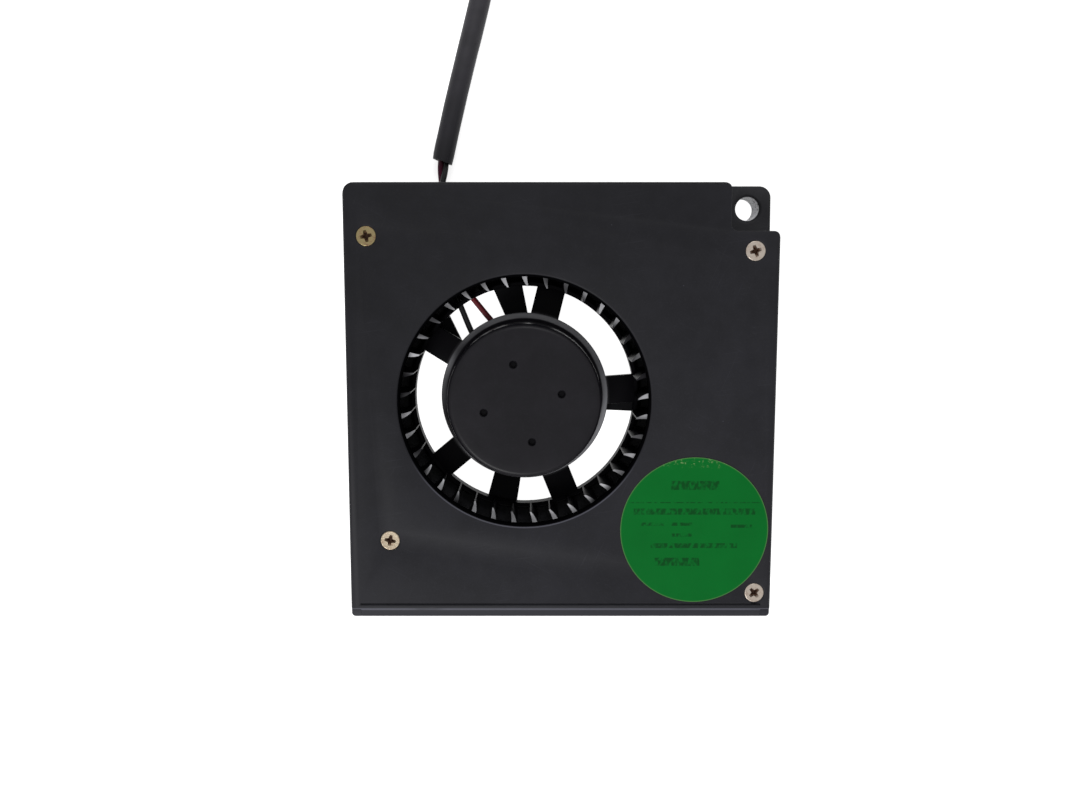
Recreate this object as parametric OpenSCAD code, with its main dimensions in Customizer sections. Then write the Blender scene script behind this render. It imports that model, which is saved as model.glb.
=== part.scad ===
// DC blower fan: a flat radial blower that draws air in through the front and the back
// and blows it out of one edge.
// Frame: origin on the rotor axis at the back face, +Z out of the front inlet,
// +Y towards the cable side, -Y out of the outlet. All lengths in millimetres.

/* [Housing] */
// Rotor axis to the left side
axis_left = 21.1; // [20.8:0.1:21.8]
// Rotor axis to the right side
axis_right = 29.9; // [29.3:0.1:30.6]
// Rotor axis to the cable side
axis_top = 25.7; // [25.1:0.1:26.4]
// Rotor axis to the outlet face
axis_outlet = 26.4; // [26.3:0.1:28]
// Thickness over both faces
housing_h = 10; // [9.9:0.1:11]
// Side wall thickness
wall_t = 1.2; // [1:0.05:1.4]
// Back plate thickness
floor_t = 1.2; // [1.1:0.05:1.3]
// Cover plate thickness
cover_t = 1.2; // [1.1:0.05:1.3]
// Radius of the plain outer corners
corner_r = 1.4; // [0.8:0.1:2]
// Radius of the two corners beside the outlet
outlet_corner_r = 0.45; // [0.3:0.05:1.2]
// Bevel along the cover's outer edges
edge_bevel = 0.25; // [0.1:0.05:0.4]

/* [Scroll] */
// X of the centre line where the scroll's two upper arcs meet
scroll_x = 2.1; // [1.6:0.1:2.6]
// Polar angle of the tongue about the rotor axis
tongue_angle = 228; // [224:1:232]
// Gap from the impeller to the tongue
tongue_gap = 1.4; // [1:0.1:1.8]
// Nose radius of the tongue
tongue_nose_r = 0.7; // [0.5:0.05:0.9]
// Height of the outlet side wall below the tongue block
outlet_wall_len = 2.4; // [1.2:0.1:3.2]
// Thickness of the wall between the scroll and the corner pocket
scroll_wall_t = 1; // [0.8:0.05:1.2]
// Side of the square corner pocket
pocket_side = 7.4; // [6.5:0.1:7.8]

/* [Inlets and mounting] */
// Radius of the front inlet
inlet_r = 14.85; // [14.4:0.05:15.2]
// Bevel of the front inlet's rim
inlet_bevel = 0.35; // [0.2:0.05:0.5]
// Radius of the back inlet
back_inlet_r = 14.15; // [13.9:0.05:14.3]
// Radius of the motor's mounting disc
motor_disc_r = 9.8; // [9.6:0.1:10.2]
// Width of a plain strut
strut_w = 3.2; // [2.8:0.1:3.5]
// Extra width of the flared struts at the plate
strut_flare = 0.65; // [0.4:0.05:0.8]
// Depth from the front face to the ear's face
ear_drop = 5.8; // [5.2:0.1:6.4]
// X where the ear's notch in the cover begins
ear_notch_x = 24.1; // [23.7:0.1:24.3]
// Y where the ear's notch in the cover begins
ear_notch_y = 20.1; // [19.7:0.1:20.3]
// Inside corner radius of the notch
notch_fillet = 0.8; // [0.4:0.1:1]
// Centre of the ear hole inwards from the right side
ear_hole_in_x = 2.8; // [2.6:0.1:3]
// Centre of the ear hole inwards from the cable side
ear_hole_in_y = 2.7; // [2.5:0.1:2.9]
// Radius of the ear hole
ear_hole_r = 1.4; // [1.2:0.05:1.5]
// Width of the ear hole's front bevel
ear_hole_bevel = 0.3; // [0.1:0.05:0.4]

/* [Outlet lip] */
// Length of the bevelled lip on the cover
lip_len = 1.05; // [0.8:0.05:1.2]
// Drop of the lip's outer edge
lip_drop = 0.45; // [0.3:0.05:0.6]
// Flat between the lip's bevel and the groove behind it
lip_flat = 0.5; // [0.3:0.05:0.6]
// Width of the groove behind the lip
lip_groove_w = 0.2; // [0.1:0.05:0.25]
// Depth of the groove behind the lip
lip_groove_d = 0.2; // [0.1:0.05:0.3]

/* [Screws and label] */
// Screw at the upper left, inwards from the left side and from the cable side
screw_a_in = [2.7, 6.2]; // [2:0.1:8]
// Screw below the ear, inwards from the right side and below the notch
screw_b_in = [2.9, 2.3]; // [2:0.1:8]
// Screw at the lower left, inwards from the left side and from the outlet
screw_c_in = [4.9, 9.6]; // [2:0.1:10]
// Screw beside the label, inwards from the right side and from the outlet
screw_d_in = [2, 3.1]; // [2:0.1:8]
// Centre of the label, inwards from the right side and from the outlet
label_in = [9.45, 10.9]; // [9:0.05:12]
// Radius of a screw head
head_r = 1.2; // [1.1:0.05:1.3]
// Height of the countersunk head
head_h = 0.65; // [0.5:0.05:0.75]
// Radius of the screw shank
shank_r = 0.65; // [0.55:0.05:0.7]
// Length of the shank below the head
shank_len = 5; // [4:0.25:5.5]
// Radius of the screw bosses
boss_r = 2; // [1.8:0.1:2.1]
// Radius of the round label
label_r = 8.8; // [8:0.1:8.9]
// Thickness of the label film
label_t = 0.08; // [0.05:0.01:0.12]

/* [Impeller] */
// Number of blades
blade_count = 37; // [31:2:39]
// Outer radius of the blade row
impeller_r = 17.4; // [17:0.1:17.6]
// Inner radius of the blade row
blade_in_r = 13.7; // [13.5:0.1:13.9]
// Rise of the blade's outer side over its chord
blade_rise_back = 1; // [0.8:0.05:1.1]
// Rise of the blade's hollow side over its chord
blade_rise_front = 0.35; // [0.3:0.05:0.45]
// Gap between the blades and the cover
blade_top_gap = 0.4; // [0.3:0.05:0.6]
// Gap between the blades and the back plate
blade_floor_gap = 0.35; // [0.3:0.05:0.5]
// Wall of the ring that carries the blades
ring_t = 0.45; // [0.4:0.05:0.6]
// Height of the ring that carries the blades
ring_h = 1.75; // [1.5:0.05:2]
// Width of the band round the blades' front ends
band_t = 0.5; // [0.4:0.05:0.6]
// Height of the band round the blades' front ends
band_h = 0.7; // [0.5:0.05:0.9]
// Number of spokes
spoke_count = 5; // [4:1:6]
// Polar angle of the first spoke
spoke_angle = 4; // [0:0.2:10]
// Width of a spoke
spoke_w = 3.5; // [3:0.1:3.6]
// Thickness of a spoke
spoke_t = 1.1; // [0.9:0.05:1.3]
// Radius of the hub
hub_r = 9.3; // [9.25:0.05:9.5]
// Depth of the hub's face below the front face
hub_drop = 0.8; // [0.6:0.05:0.9]
// Radius of the hub's rounded edge
hub_edge_r = 0.7; // [0.4:0.05:0.75]
// Thickness of the hub's face
hub_face_t = 0.8; // [0.7:0.05:0.85]
// Radius of the flange at the hub's foot
flange_r = 10.4; // [10.2:0.1:10.6]
// Thickness of the flange
flange_t = 0.4; // [0.3:0.05:0.6]
// Radius of the circle of small dimples in the hub's face
dimple_pitch_r = 4.8; // [4.5:0.1:5.2]
// Radius of a dimple
dimple_r = 0.4; // [0.3:0.05:0.45]
// Depth of a dimple
dimple_d = 0.35; // [0.2:0.05:0.4]
// Polar angle of the first dimple
dimple_angle = 13.5; // [0:0.5:45]

/* [Motor] */
// Gap between pieces that are pressed or dropped together
fit_gap = 0.02; // [0.01:0.01:0.03]
// Running clearance of the shaft in its bearing
shaft_gap = 0.03; // [0.02:0.01:0.05]
// Outer radius of the rotor's steel cup
cup_r = 8.6; // [8.5:0.05:8.62]
// Wall of the steel cup
cup_t = 0.5; // [0.4:0.05:0.6]
// Depth of the steel cup
cup_h = 5.4; // [5.2:0.1:5.5]
// Radial thickness of the ring magnet
magnet_t = 1.15; // [1.05:0.05:1.2]
// Height of the ring magnet
magnet_h = 4.4; // [4.2:0.1:4.5]
// Gap from the ring magnet to the cup's face
magnet_set = 0.3; // [0.2:0.05:0.4]
// Radius of the shaft
shaft_r = 0.75; // [0.7:0.05:0.8]
// Radius of the brass bushing that joins the cup to the shaft
bushing_r = 1.8; // [1.6:0.1:2]
// Height of the brass bushing
bushing_h = 1.2; // [1.1:0.05:1.3]
// Outer radius of the bearing tube
tube_r = 2; // [1.95:0.05:2.1]
// Wall of the bearing tube
tube_t = 0.45; // [0.4:0.05:0.5]
// Length of the bearing tube
tube_len = 6.3; // [6:0.1:6.4]
// Back plate left under the bearing tube
tube_seat_t = 0.6; // [0.5:0.05:0.7]
// Length of the sleeve bearing
bearing_len = 5; // [4.6:0.1:5.1]
// Thickness of the wear pad under the shaft
pad_t = 0.3; // [0.2:0.05:0.35]
// Radius of the boss that holds the bearing tube
motor_boss_r = 3.1; // [2.9:0.05:3.2]
// Height of the boss over the back plate
motor_boss_h = 1.8; // [1.7:0.05:1.85]
// Radius over the stator's poles
stator_r = 6.5; // [6.4:0.05:6.6]
// Thickness of the stator's steel stack
stack_h = 2; // [1.8:0.1:2.1]
// Width of a stator tooth
tooth_w = 1.6; // [1.4:0.1:1.8]
// Depth of a pole shoe
shoe_t = 0.9; // [0.8:0.05:1]
// Width of the slot between two pole shoes
slot_w = 1.4; // [1.2:0.1:1.6]
// Thickness of the plastic insulators
insulator_t = 0.3; // [0.25:0.05:0.35]
// Build-up of a winding round its tooth
winding_t = 0.7; // [0.6:0.05:0.75]

/* [Circuit board] */
// Radius of the circuit board
board_r = 8.3; // [8.1:0.05:8.4]
// Thickness of the circuit board
board_t = 0.6; // [0.5:0.05:0.65]
// Height of the ridge that carries the board
board_ridge_h = 0.2; // [0.15:0.05:0.25]
// Height of the chips on the board
chip_h = 0.75; // [0.6:0.05:0.8]

/* [Cable] */
// Radius of one insulated lead
lead_r = 0.37; // [0.3:0.01:0.38]
// Radius of the black sleeve over both leads
sleeve_r = 1.22; // [1.1:0.02:1.24]
// Width of the cable channel in the back plate
channel_w = 1.8; // [1.7:0.1:2]
// Radius of the cable coil at the middle of its turns
coil_r = 12.5; // [12.5:0.5:13]

/* [Connector] */
// Width of the connector housing
plug_w = 5; // [4.8:0.1:5.4]
// Height of the connector housing
plug_h = 3.4; // [3.2:0.1:3.8]
// Length of the connector housing
plug_len = 7; // [6.5:0.1:8]
// Distance between the two contacts
contact_pitch = 2; // [1.9:0.05:2.1]
// Depth of a crimp terminal behind the connector's back
terminal_in = 1.7; // [1.65:0.05:2]
// Depth of a crimp terminal behind the connector's mating face
terminal_out = 0.4; // [0.3:0.1:0.8]
// Depth of the socket in a crimp terminal
terminal_socket = 2.9; // [2.5:0.1:3.5]

/* [Hidden] */
$fn = 64;
eps = 0.01;
over = 1;

// Housing
case_w = axis_left + axis_right;
case_l = axis_top + axis_outlet;
wall_top = housing_h - cover_t;
ear_t = housing_h - ear_drop;
ear_hole = [axis_right - ear_hole_in_x, axis_top - ear_hole_in_y];
screw_spots = [
    [-axis_left + screw_a_in.x, axis_top - screw_a_in.y],
    [axis_right - screw_b_in.x, ear_notch_y - screw_b_in.y],
    [-axis_left + screw_c_in.x, -axis_outlet + screw_c_in.y],
    [axis_right - screw_d_in.x, -axis_outlet + screw_d_in.y]];
label_spot = [axis_right - label_in.x, -axis_outlet + label_in.y];

// Scroll: three arcs that meet with common tangents at the left and at the top
inner_left = axis_left - wall_t;
inner_right = axis_right - wall_t;
inner_top = axis_top - wall_t;
arc_b_r = scroll_x + inner_left;
arc_c_r = inner_right - scroll_x;
arc_b_y = inner_top - arc_b_r;
arc_c_y = inner_top - arc_c_r;
tongue_r = impeller_r + tongue_gap;
tongue = tongue_r * [cos(tongue_angle), sin(tongue_angle)];
arc_a_r = (pow(tongue.x + inner_left, 2) + pow(tongue.y - arc_b_y, 2)) / (2 * (tongue.x + inner_left));
nose = (tongue_r + tongue_nose_r) * [cos(tongue_angle), sin(tongue_angle)];
outlet_wall_y = -axis_outlet + outlet_wall_len;
ramp_angle = atan2(outlet_wall_y - nose.y, -inner_left - nose.x);

// Impeller heights
ring_z = floor_t + blade_floor_gap;
blade_top = wall_top - blade_top_gap;
flange_z = ring_z + ring_h;
spoke_drop = 0.05;
spoke_z = flange_z - spoke_t - spoke_drop;
hub_top = housing_h - hub_drop;
cup_top = hub_top - hub_face_t;
// The dimples' circle is moulded a little off the axis
dimple_centre = [-0.2, -0.25];
blade_mid_r = (blade_in_r + impeller_r) / 2;
blade_chord = impeller_r - blade_in_r + 0.6;
blade_back_r = (pow(blade_chord / 2, 2) + pow(blade_rise_back, 2)) / (2 * blade_rise_back);
blade_front_r = (pow(blade_chord / 2, 2) + pow(blade_rise_front, 2)) / (2 * blade_rise_front);

// Motor heights: the lengths are those of the standard housing, and grow with a thicker one
standard_h = 10;
extra_h = housing_h - standard_h;
cup_depth = cup_h + extra_h;
magnet_len = magnet_h + extra_h;
stack_len = stack_h + extra_h;
tube_full = tube_len + extra_h;
bearing_full = bearing_len + extra_h;
cup_z = cup_top - cup_depth;
magnet_z = cup_top - cup_t - magnet_len - magnet_set;
magnet_r = cup_r - cup_t - fit_gap;
tube_z = tube_seat_t;
tube_bore_r = tube_r - tube_t;
pad_z = tube_z;
shaft_z = pad_z + pad_t + 0.02;
clip_z = shaft_z + 0.15;
clip_t = 0.2;
bearing_z = clip_z + clip_t + 0.15;
washer_z = bearing_z + bearing_full + 0.1;
washer_t = 0.15;
board_z = floor_t + board_ridge_h;
board_top = board_z + board_t;
boss_top = floor_t + motor_boss_h;
stack_mid = boss_top + winding_t + insulator_t + stack_len / 2 + 0.15;
winding_in_r = motor_boss_r + 0.3;
winding_half_w = tooth_w / 2 + insulator_t + fit_gap + winding_t;
fence_r = stator_r - shoe_t - fit_gap;
winding_out_r = sqrt(pow(fence_r - insulator_t, 2) - pow(winding_half_w, 2)) - fit_gap;
tooth_count = 4;

// Cable route: round points, from the housing to the coil and from the coil to the sleeve's end
exit_x = -10.3;
lead_z = 0.8;
channel_z = 0.4;
channel_left_y = 15.8;
channel_right_y = 17.8;
channel_h = 2 * lead_r + 0.85;
board_pad_black = [-5.6, 5.6];
board_pad_red = [-2.6, 7.6];
black_route = [[-5.6, 5.6, 0.8], [-6.9, 8.2, 0.8], [-8.1, 11.1, 0.8], [-9.5, 14.1, 0.8], [-10.65, 17.2, 0.8],
    [-10.7, 20.7, 0.8], [-10.75, 24.2, 1.1]];
red_route = [[-2.6, 7.6, 0.8], [-4.4, 9.5, 0.8], [-6.7, 12.3, 0.8], [-8.8, 14.7, 0.8], [-9.85, 17.6, 0.8],
    [-9.9, 20.7, 0.8], [-9.85, 24.2, 0.8]];
twist_start = [-10.3, 25.5, 1.18];
twist_end = [-10, 29.4, 1.4];
twist_turns = -0.4;
twist_phase = -70;
twist_r = lead_r + 0.03;
sleeve_route = [[-10, 29.6, 1.5], [-9.4, 32.2, 1.5], [-8.2, 37.2, 1.5], [-6.9, 42.2, 1.5], [-5.6, 47.2, 1.5],
    [-4.3, 52.8, 1.6], [-3.2, 58.4, 1.6], [-2.1, 64, 1.6], [-1.4, 68.8, 1.6]];
coil_centre = [10.8, 66];
coil_z = 0.35;
coil_turn_gap = 2.5;
tail_route = [[13.6, 78.2, 4.1], [17, 77.6, 3.9], [20.5, 77.2, 3], [24, 77.2, 1.9], [27.5, 77.6, 1.7]];
tail_start = tail_route[len(tail_route) - 1];
plug_spot = [36, 79.2, 0];
plug_angle = 8;
tie_angle = 120;
tie_t = 0.3;
tie_w = 1.6;
tie_tail_len = 5;
tie_tail_r = 0.5;

// ---- shared shapes -------------------------------------------------------------------

// Waste beyond a rounded outer corner at the origin; the part lies towards +x and +y
module corner_waste(r) {
    difference() {
        translate([-over, -over]) square([r + over, r + over]);
        translate([r, r]) circle(r = r);
    }
}

// Fillet in an inside corner at the origin; the open side lies towards +x and +y
module corner_fill(r) {
    difference() {
        translate([-eps, -eps]) square([r + eps, r + eps]);
        translate([r, r]) circle(r = r);
    }
}

// Flat ring
module ring_2d(out_r, in_r) {
    difference() {
        circle(r = out_r);
        circle(r = in_r);
    }
}

// Hollow cylinder standing at height z
module tube(out_r, in_r, z, h) {
    translate([0, 0, z]) linear_extrude(h) ring_2d(out_r, in_r);
}

// ---- housing -------------------------------------------------------------------------

// Outline of the housing over the ear, with all four outer corners rounded
module full_outline() {
    difference() {
        translate([-axis_left, -axis_outlet]) square([case_w, case_l]);
        translate([-axis_left, -axis_outlet]) corner_waste(outlet_corner_r);
        translate([axis_right, -axis_outlet]) rotate(90) corner_waste(outlet_corner_r);
        translate([axis_right, axis_top]) rotate(180) corner_waste(corner_r);
        translate([-axis_left, axis_top]) rotate(270) corner_waste(corner_r);
    }
}

// Outline of the cover and of the walls under it, notched for the ear
module notched_outline() {
    difference() {
        full_outline();
        translate([ear_notch_x, ear_notch_y]) square([axis_right, axis_top]);
        translate([ear_notch_x, axis_top]) rotate(180) corner_waste(notch_fillet);
        translate([axis_right, ear_notch_y]) rotate(180) corner_waste(notch_fillet);
    }
    translate([ear_notch_x, ear_notch_y]) corner_fill(notch_fillet);
}

// Quarter of a disc about c, swept from angle a to a + 90
module quarter(c, r, a) {
    translate(c) intersection() {
        circle(r = r);
        rotate(a) square([r + over, r + over]);
    }
}

// Air space inside the walls: the growing scroll and the straight run to the outlet
module air_space() {
    nose_in = nose - tongue_nose_r * [cos(tongue_angle), sin(tongue_angle)];
    nose_out = nose + tongue_nose_r * [cos(ramp_angle + 90), sin(ramp_angle + 90)];
    circle(r = tongue_r);
    quarter([arc_a_r - inner_left, arc_b_y], arc_a_r, 180);
    quarter([scroll_x, arc_b_y], arc_b_r, 90);
    quarter([scroll_x, arc_c_y], arc_c_r, 0);
    polygon([[0, 0], nose_in, nose_out, [-inner_left, outlet_wall_y], [-inner_left, -axis_outlet - over],
        [inner_right, -axis_outlet - over], [inner_right, arc_c_y]]);
}

// Hollow between the scroll's wall and the upper left corner
module corner_pocket() {
    difference() {
        translate([-inner_left, inner_top - pocket_side]) square(pocket_side);
        translate([scroll_x, arc_b_y]) circle(r = arc_b_r + scroll_wall_t);
        translate(screw_spots[0]) circle(r = boss_r);
    }
}

// Plan of every wall that stands on the back plate
module wall_plan() {
    difference() {
        notched_outline();
        difference() {
            air_space();
            translate(nose) circle(r = tongue_nose_r);
            for (spot = screw_spots) translate(spot) circle(r = boss_r);
        }
        corner_pocket();
    }
}

// One strut of the back inlet: a bar whose width and place change with the radius
module strut(angle, inner_w, outer_w, lean) {
    from_r = motor_disc_r - 1;
    to_r = back_inlet_r + 0.4;
    mid_r = (from_r + to_r) / 2;
    inner_y = (from_r - mid_r) * tan(lean);
    outer_y = (to_r - mid_r) * tan(lean);
    rotate(angle) polygon([[from_r, inner_y - inner_w / 2], [to_r, outer_y - outer_w / 2],
        [to_r, outer_y + outer_w / 2], [from_r, inner_y + inner_w / 2]]);
}

// Back plate: outline, back inlet, motor disc and struts
module back_plate() {
    difference() {
        full_outline();
        circle(r = back_inlet_r);
    }
    circle(r = motor_disc_r);
    strut(-2.5, strut_w, strut_w, 0);
    strut(97.5, strut_w - strut_flare, strut_w + strut_flare, 10);
    strut(145.5, strut_w, strut_w + strut_flare, -27);
    strut(258, strut_w, strut_w + strut_flare, 0);
}

// Channel that takes the two leads from the motor to the cable side
module cable_channel() {
    left = exit_x - channel_w / 2;
    right = exit_x + channel_w / 2;
    mouth_r = back_inlet_r - 0.3;
    polygon([[left, axis_top + over], [left, channel_left_y], mouth_r * [cos(132), sin(132)],
        mouth_r * [cos(113), sin(113)], [right, channel_right_y], [right, axis_top + over]]);
    lead_slot(black_route);
    lead_slot(red_route);
}

// Slot in the edge of the motor disc, along the start of a lead
module lead_slot(route) {
    run = route[1] - route[0];
    translate([route[0].x, route[0].y]) rotate(atan2(run.y, run.x))
        translate([-2 * lead_r, -1.5 * lead_r]) square([norm(run) + 2 * lead_r, 3 * lead_r]);
}

module base_housing() {
    color("#2b2b2e") difference() {
        union() {
            linear_extrude(floor_t) back_plate();
            linear_extrude(wall_top) wall_plan();
            linear_extrude(ear_t) intersection() {
                full_outline();
                translate([ear_notch_x - over, ear_notch_y - over]) square([axis_right, axis_top]);
            }
            tube(motor_boss_r, tube_r + fit_gap, floor_t, motor_boss_h);
            tube(5.6, 4.8, floor_t, board_ridge_h);
        }
        translate([0, 0, tube_seat_t]) cylinder(h = floor_t, r = tube_r + fit_gap);
        translate([ear_hole.x, ear_hole.y, -over]) cylinder(h = ear_t + 2 * over, r = ear_hole_r);
        translate([ear_hole.x, ear_hole.y, ear_t - ear_hole_bevel])
            cylinder(h = 2 * ear_hole_bevel, r1 = ear_hole_r, r2 = ear_hole_r + 2 * ear_hole_bevel);
        for (spot = screw_spots)
            translate([spot.x, spot.y, wall_top - shank_len])
                cylinder(h = shank_len + over, r = shank_r + fit_gap);
        translate([0, 0, channel_z]) linear_extrude(channel_h) cable_channel();
    }
}

// Cross-section of the cover from the outlet lip to the cable side, as y and height over its back
module cover_profile() {
    lip_y = -axis_outlet + lip_len;
    difference() {
        polygon([[-axis_outlet, 0], [axis_top, 0], [axis_top, cover_t - edge_bevel],
            [axis_top - edge_bevel, cover_t], [lip_y, cover_t], [-axis_outlet, cover_t - lip_drop]]);
        translate([lip_y + lip_flat, cover_t - lip_groove_d]) square([lip_groove_w, cover_t]);
    }
}

module top_cover() {
    color("#2b2b2e") translate([0, 0, wall_top]) difference() {
        intersection() {
            linear_extrude(cover_t) notched_outline();
            union() {
                translate([-axis_left + wall_t, 0, 0]) rotate([90, 0, 90])
                    linear_extrude(case_w - 2 * wall_t) cover_profile();
                translate([-axis_left, -axis_outlet, 0])
                    cube([case_w, case_l, cover_t - lip_drop]);
                side_strip(-axis_left, 1);
                side_strip(axis_right, -1);
            }
        }
        translate([0, 0, -over]) cylinder(h = cover_t + 2 * over, r = inlet_r);
        translate([0, 0, cover_t - inlet_bevel])
            cylinder(h = 2 * inlet_bevel, r1 = inlet_r, r2 = inlet_r + 2 * inlet_bevel);
        for (spot = screw_spots) translate([spot.x, spot.y, 0]) screw_hole();
    }
}

// Ungrooved strip of the cover over a side wall, bevelled along its outer edge
module side_strip(side_x, inwards) {
    translate([side_x, 0, 0]) scale_x(inwards) translate([0, axis_top, 0]) rotate([90, 0, 0])
        linear_extrude(axis_top + axis_outlet - lip_len)
            polygon([[0, 0], [wall_t + eps, 0], [wall_t + eps, cover_t], [edge_bevel, cover_t],
                [0, cover_t - edge_bevel]]);
}

// Mirrors its children left to right when the direction is negative
module scale_x(direction) {
    mirror([direction < 0 ? 1 : 0, 0, 0]) children();
}

// Countersunk clearance hole through the cover
module screw_hole() {
    translate([0, 0, -over]) cylinder(h = cover_t + 2 * over, r = shank_r + 3 * fit_gap);
    translate([0, 0, cover_t - head_h - fit_gap])
        cylinder(h = head_h + 2 * fit_gap, r1 = shank_r + 3 * fit_gap, r2 = head_r + 3 * fit_gap);
    translate([0, 0, cover_t]) cylinder(h = over, r = head_r + 3 * fit_gap);
}

module cover_screws() {
    color("#b9a99f") for (i = [0 : len(screw_spots) - 1])
        translate([screw_spots[i].x, screw_spots[i].y, housing_h - head_h])
            rotate(30 + 35 * i) screw();
}

// Countersunk cross-head screw, its shank pointing down from z = 0
module screw() {
    recess_w = 0.34 * head_r;
    difference() {
        union() {
            cylinder(h = head_h, r1 = shank_r, r2 = head_r);
            translate([0, 0, -shank_len + cover_t]) cylinder(h = shank_len - cover_t + eps, r = shank_r);
        }
        for (a = [0, 90]) rotate(a)
            translate([-0.6 * head_r, -recess_w / 2, head_h * 0.35])
                cube([1.2 * head_r, recess_w, head_h]);
    }
}

module label() {
    color("#0a7a30") translate([label_spot.x, label_spot.y, housing_h])
        cylinder(h = label_t, r = label_r);
}

// ---- rotor ---------------------------------------------------------------------------

// Plan of one curved blade: a crescent, hollow towards the direction of rotation
module blade_plan() {
    difference() {
        translate([blade_mid_r, blade_rise_back - blade_back_r]) circle(r = blade_back_r);
        translate([blade_mid_r, blade_rise_front - blade_front_r]) circle(r = blade_front_r);
    }
}

// Half-section of the hub: face, rounded edge, wall and the flange with its hollow flare
module hub_section() {
    flare_r = flange_r - hub_r;
    foot_z = flange_z - flange_t;
    difference() {
        union() {
            translate([0, foot_z]) square([hub_r, hub_top - foot_z]);
            translate([0, foot_z]) square([flange_r, flange_t]);
            translate([hub_r, flange_z]) corner_fill(flare_r);
        }
        translate([hub_r, hub_top]) rotate(180) corner_waste(hub_edge_r);
        translate([-over, foot_z - over]) square([cup_r + fit_gap + over, cup_top - foot_z + over]);
    }
}

// Ring that carries the blades, with the spokes that reach it from the hub
module spoked_ring() {
    union() {
        tube(blade_in_r + ring_t, blade_in_r, ring_z, ring_h);
        for (i = [0 : spoke_count - 1])
            rotate(spoke_angle + i * 360 / spoke_count)
                translate([cup_r + 0.4, -spoke_w / 2, spoke_z])
                    cube([blade_in_r + ring_t / 2 - cup_r - 0.4, spoke_w, spoke_t]);
    }
}

module impeller() {
    pitch = 360 / blade_count;
    color("#1f1f21") difference() {
        union() {
            rotate_extrude() hub_section();
            translate([0, 0, ring_z]) linear_extrude(blade_top - ring_z) intersection() {
                ring_2d(impeller_r, blade_in_r);
                for (i = [0 : blade_count - 1]) rotate(i * pitch) blade_plan();
            }
            tube(impeller_r, impeller_r - band_t, blade_top - band_h, band_h);
            spoked_ring();
        }
        translate([dimple_centre.x, dimple_centre.y, hub_top - dimple_d])
            for (i = [0 : 3]) rotate(dimple_angle + 90 * i)
                translate([dimple_pitch_r, 0, 0]) cylinder(h = over, r = dimple_r);
    }
}

module rotor_cup() {
    color("#8d9095") translate([0, 0, cup_z]) difference() {
        cylinder(h = cup_depth, r = cup_r);
        translate([0, 0, -over]) cylinder(h = cup_depth - cup_t + over, r = cup_r - cup_t);
        cylinder(h = cup_depth + over, r = bushing_r + fit_gap);
    }
}

module ring_magnet() {
    color("#3a3634") tube(magnet_r, magnet_r - magnet_t, magnet_z, magnet_len);
}

module shaft() {
    color("#d5d7da") difference() {
        translate([0, 0, shaft_z]) cylinder(h = cup_top - shaft_z, r = shaft_r);
        tube(shaft_r + over, shaft_r - 0.2, clip_z - fit_gap, clip_t + 2 * fit_gap);
    }
}

module rotor_bushing() {
    color("#b98f45") tube(bushing_r, shaft_r + fit_gap, cup_top - bushing_h, bushing_h);
}

module oil_washer() {
    color("#e9e6dc") tube(tube_bore_r - 0.15, shaft_r + 0.06, washer_z, washer_t);
}

// Split clip in the shaft's groove that keeps the rotor from lifting out
module shaft_clip() {
    color("#f0efe9") difference() {
        tube(tube_bore_r - 0.3, shaft_r - 0.2 + fit_gap, clip_z, clip_t);
        translate([0, -0.2, clip_z - over]) cube([tube_r, 0.4, clip_t + 2 * over]);
    }
}

// ---- bearing and stator --------------------------------------------------------------

module wear_pad() {
    color("#efe9d2") translate([0, 0, pad_z]) cylinder(h = pad_t, r = tube_bore_r - fit_gap);
}

module bearing_tube() {
    color("#c59c4e") tube(tube_r, tube_bore_r, tube_z, tube_full);
}

module sleeve_bearing() {
    color("#a8763c") tube(tube_bore_r - fit_gap, shaft_r + shaft_gap, bearing_z, bearing_full);
}

// Plan of the teeth, reaching from the stator's middle to the shoes
module teeth_plan(width) {
    for (i = [0 : tooth_count - 1]) rotate(i * 360 / tooth_count)
        translate([0, -width / 2]) square([stator_r - shoe_t / 2, width]);
}

// Plan of the steel sheets
module stack_plan() {
    bore_r = tube_r + fit_gap;
    difference() {
        union() {
            circle(r = motor_boss_r);
            teeth_plan(tooth_w);
            shoe_ring(stator_r, stator_r - shoe_t);
        }
        circle(r = bore_r);
    }
}

// Plan of four arcs about the rotor axis, parted by the slots
module shoe_ring(out_r, in_r) {
    difference() {
        ring_2d(out_r, in_r);
        for (i = [0 : tooth_count - 1]) rotate((i + 0.5) * 360 / tooth_count)
            translate([0, -slot_w / 2]) square([stator_r + over, slot_w]);
    }
}

module stator_core() {
    color("#7e8286") translate([0, 0, stack_mid - stack_len / 2]) linear_extrude(stack_len) stack_plan();
}

// Upper half of the insulation: face plate, tooth sides and a fence against the shoes
module insulator_half() {
    wrap_w = tooth_w + 2 * insulator_t;
    difference() {
        union() {
            translate([0, 0, stack_len / 2]) linear_extrude(insulator_t) difference() {
                union() {
                    circle(r = motor_boss_r);
                    intersection() {
                        teeth_plan(wrap_w);
                        circle(r = fence_r);
                    }
                }
                circle(r = tube_r + fit_gap);
            }
            linear_extrude(stack_len / 2 + insulator_t) difference() {
                intersection() {
                    teeth_plan(wrap_w);
                    circle(r = fence_r);
                }
                teeth_plan(tooth_w + 2 * fit_gap);
                circle(r = motor_boss_r + fit_gap);
            }
            translate([0, 0, stack_len / 2]) linear_extrude(winding_t + insulator_t)
                shoe_ring(fence_r, fence_r - insulator_t);
        }
        translate([0, 0, -over]) cylinder(h = stack_len + 4 * over, r = tube_r + fit_gap);
    }
}

module upper_insulator() {
    color("#e7e3d6") translate([0, 0, stack_mid + fit_gap]) insulator_half();
}

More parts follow.
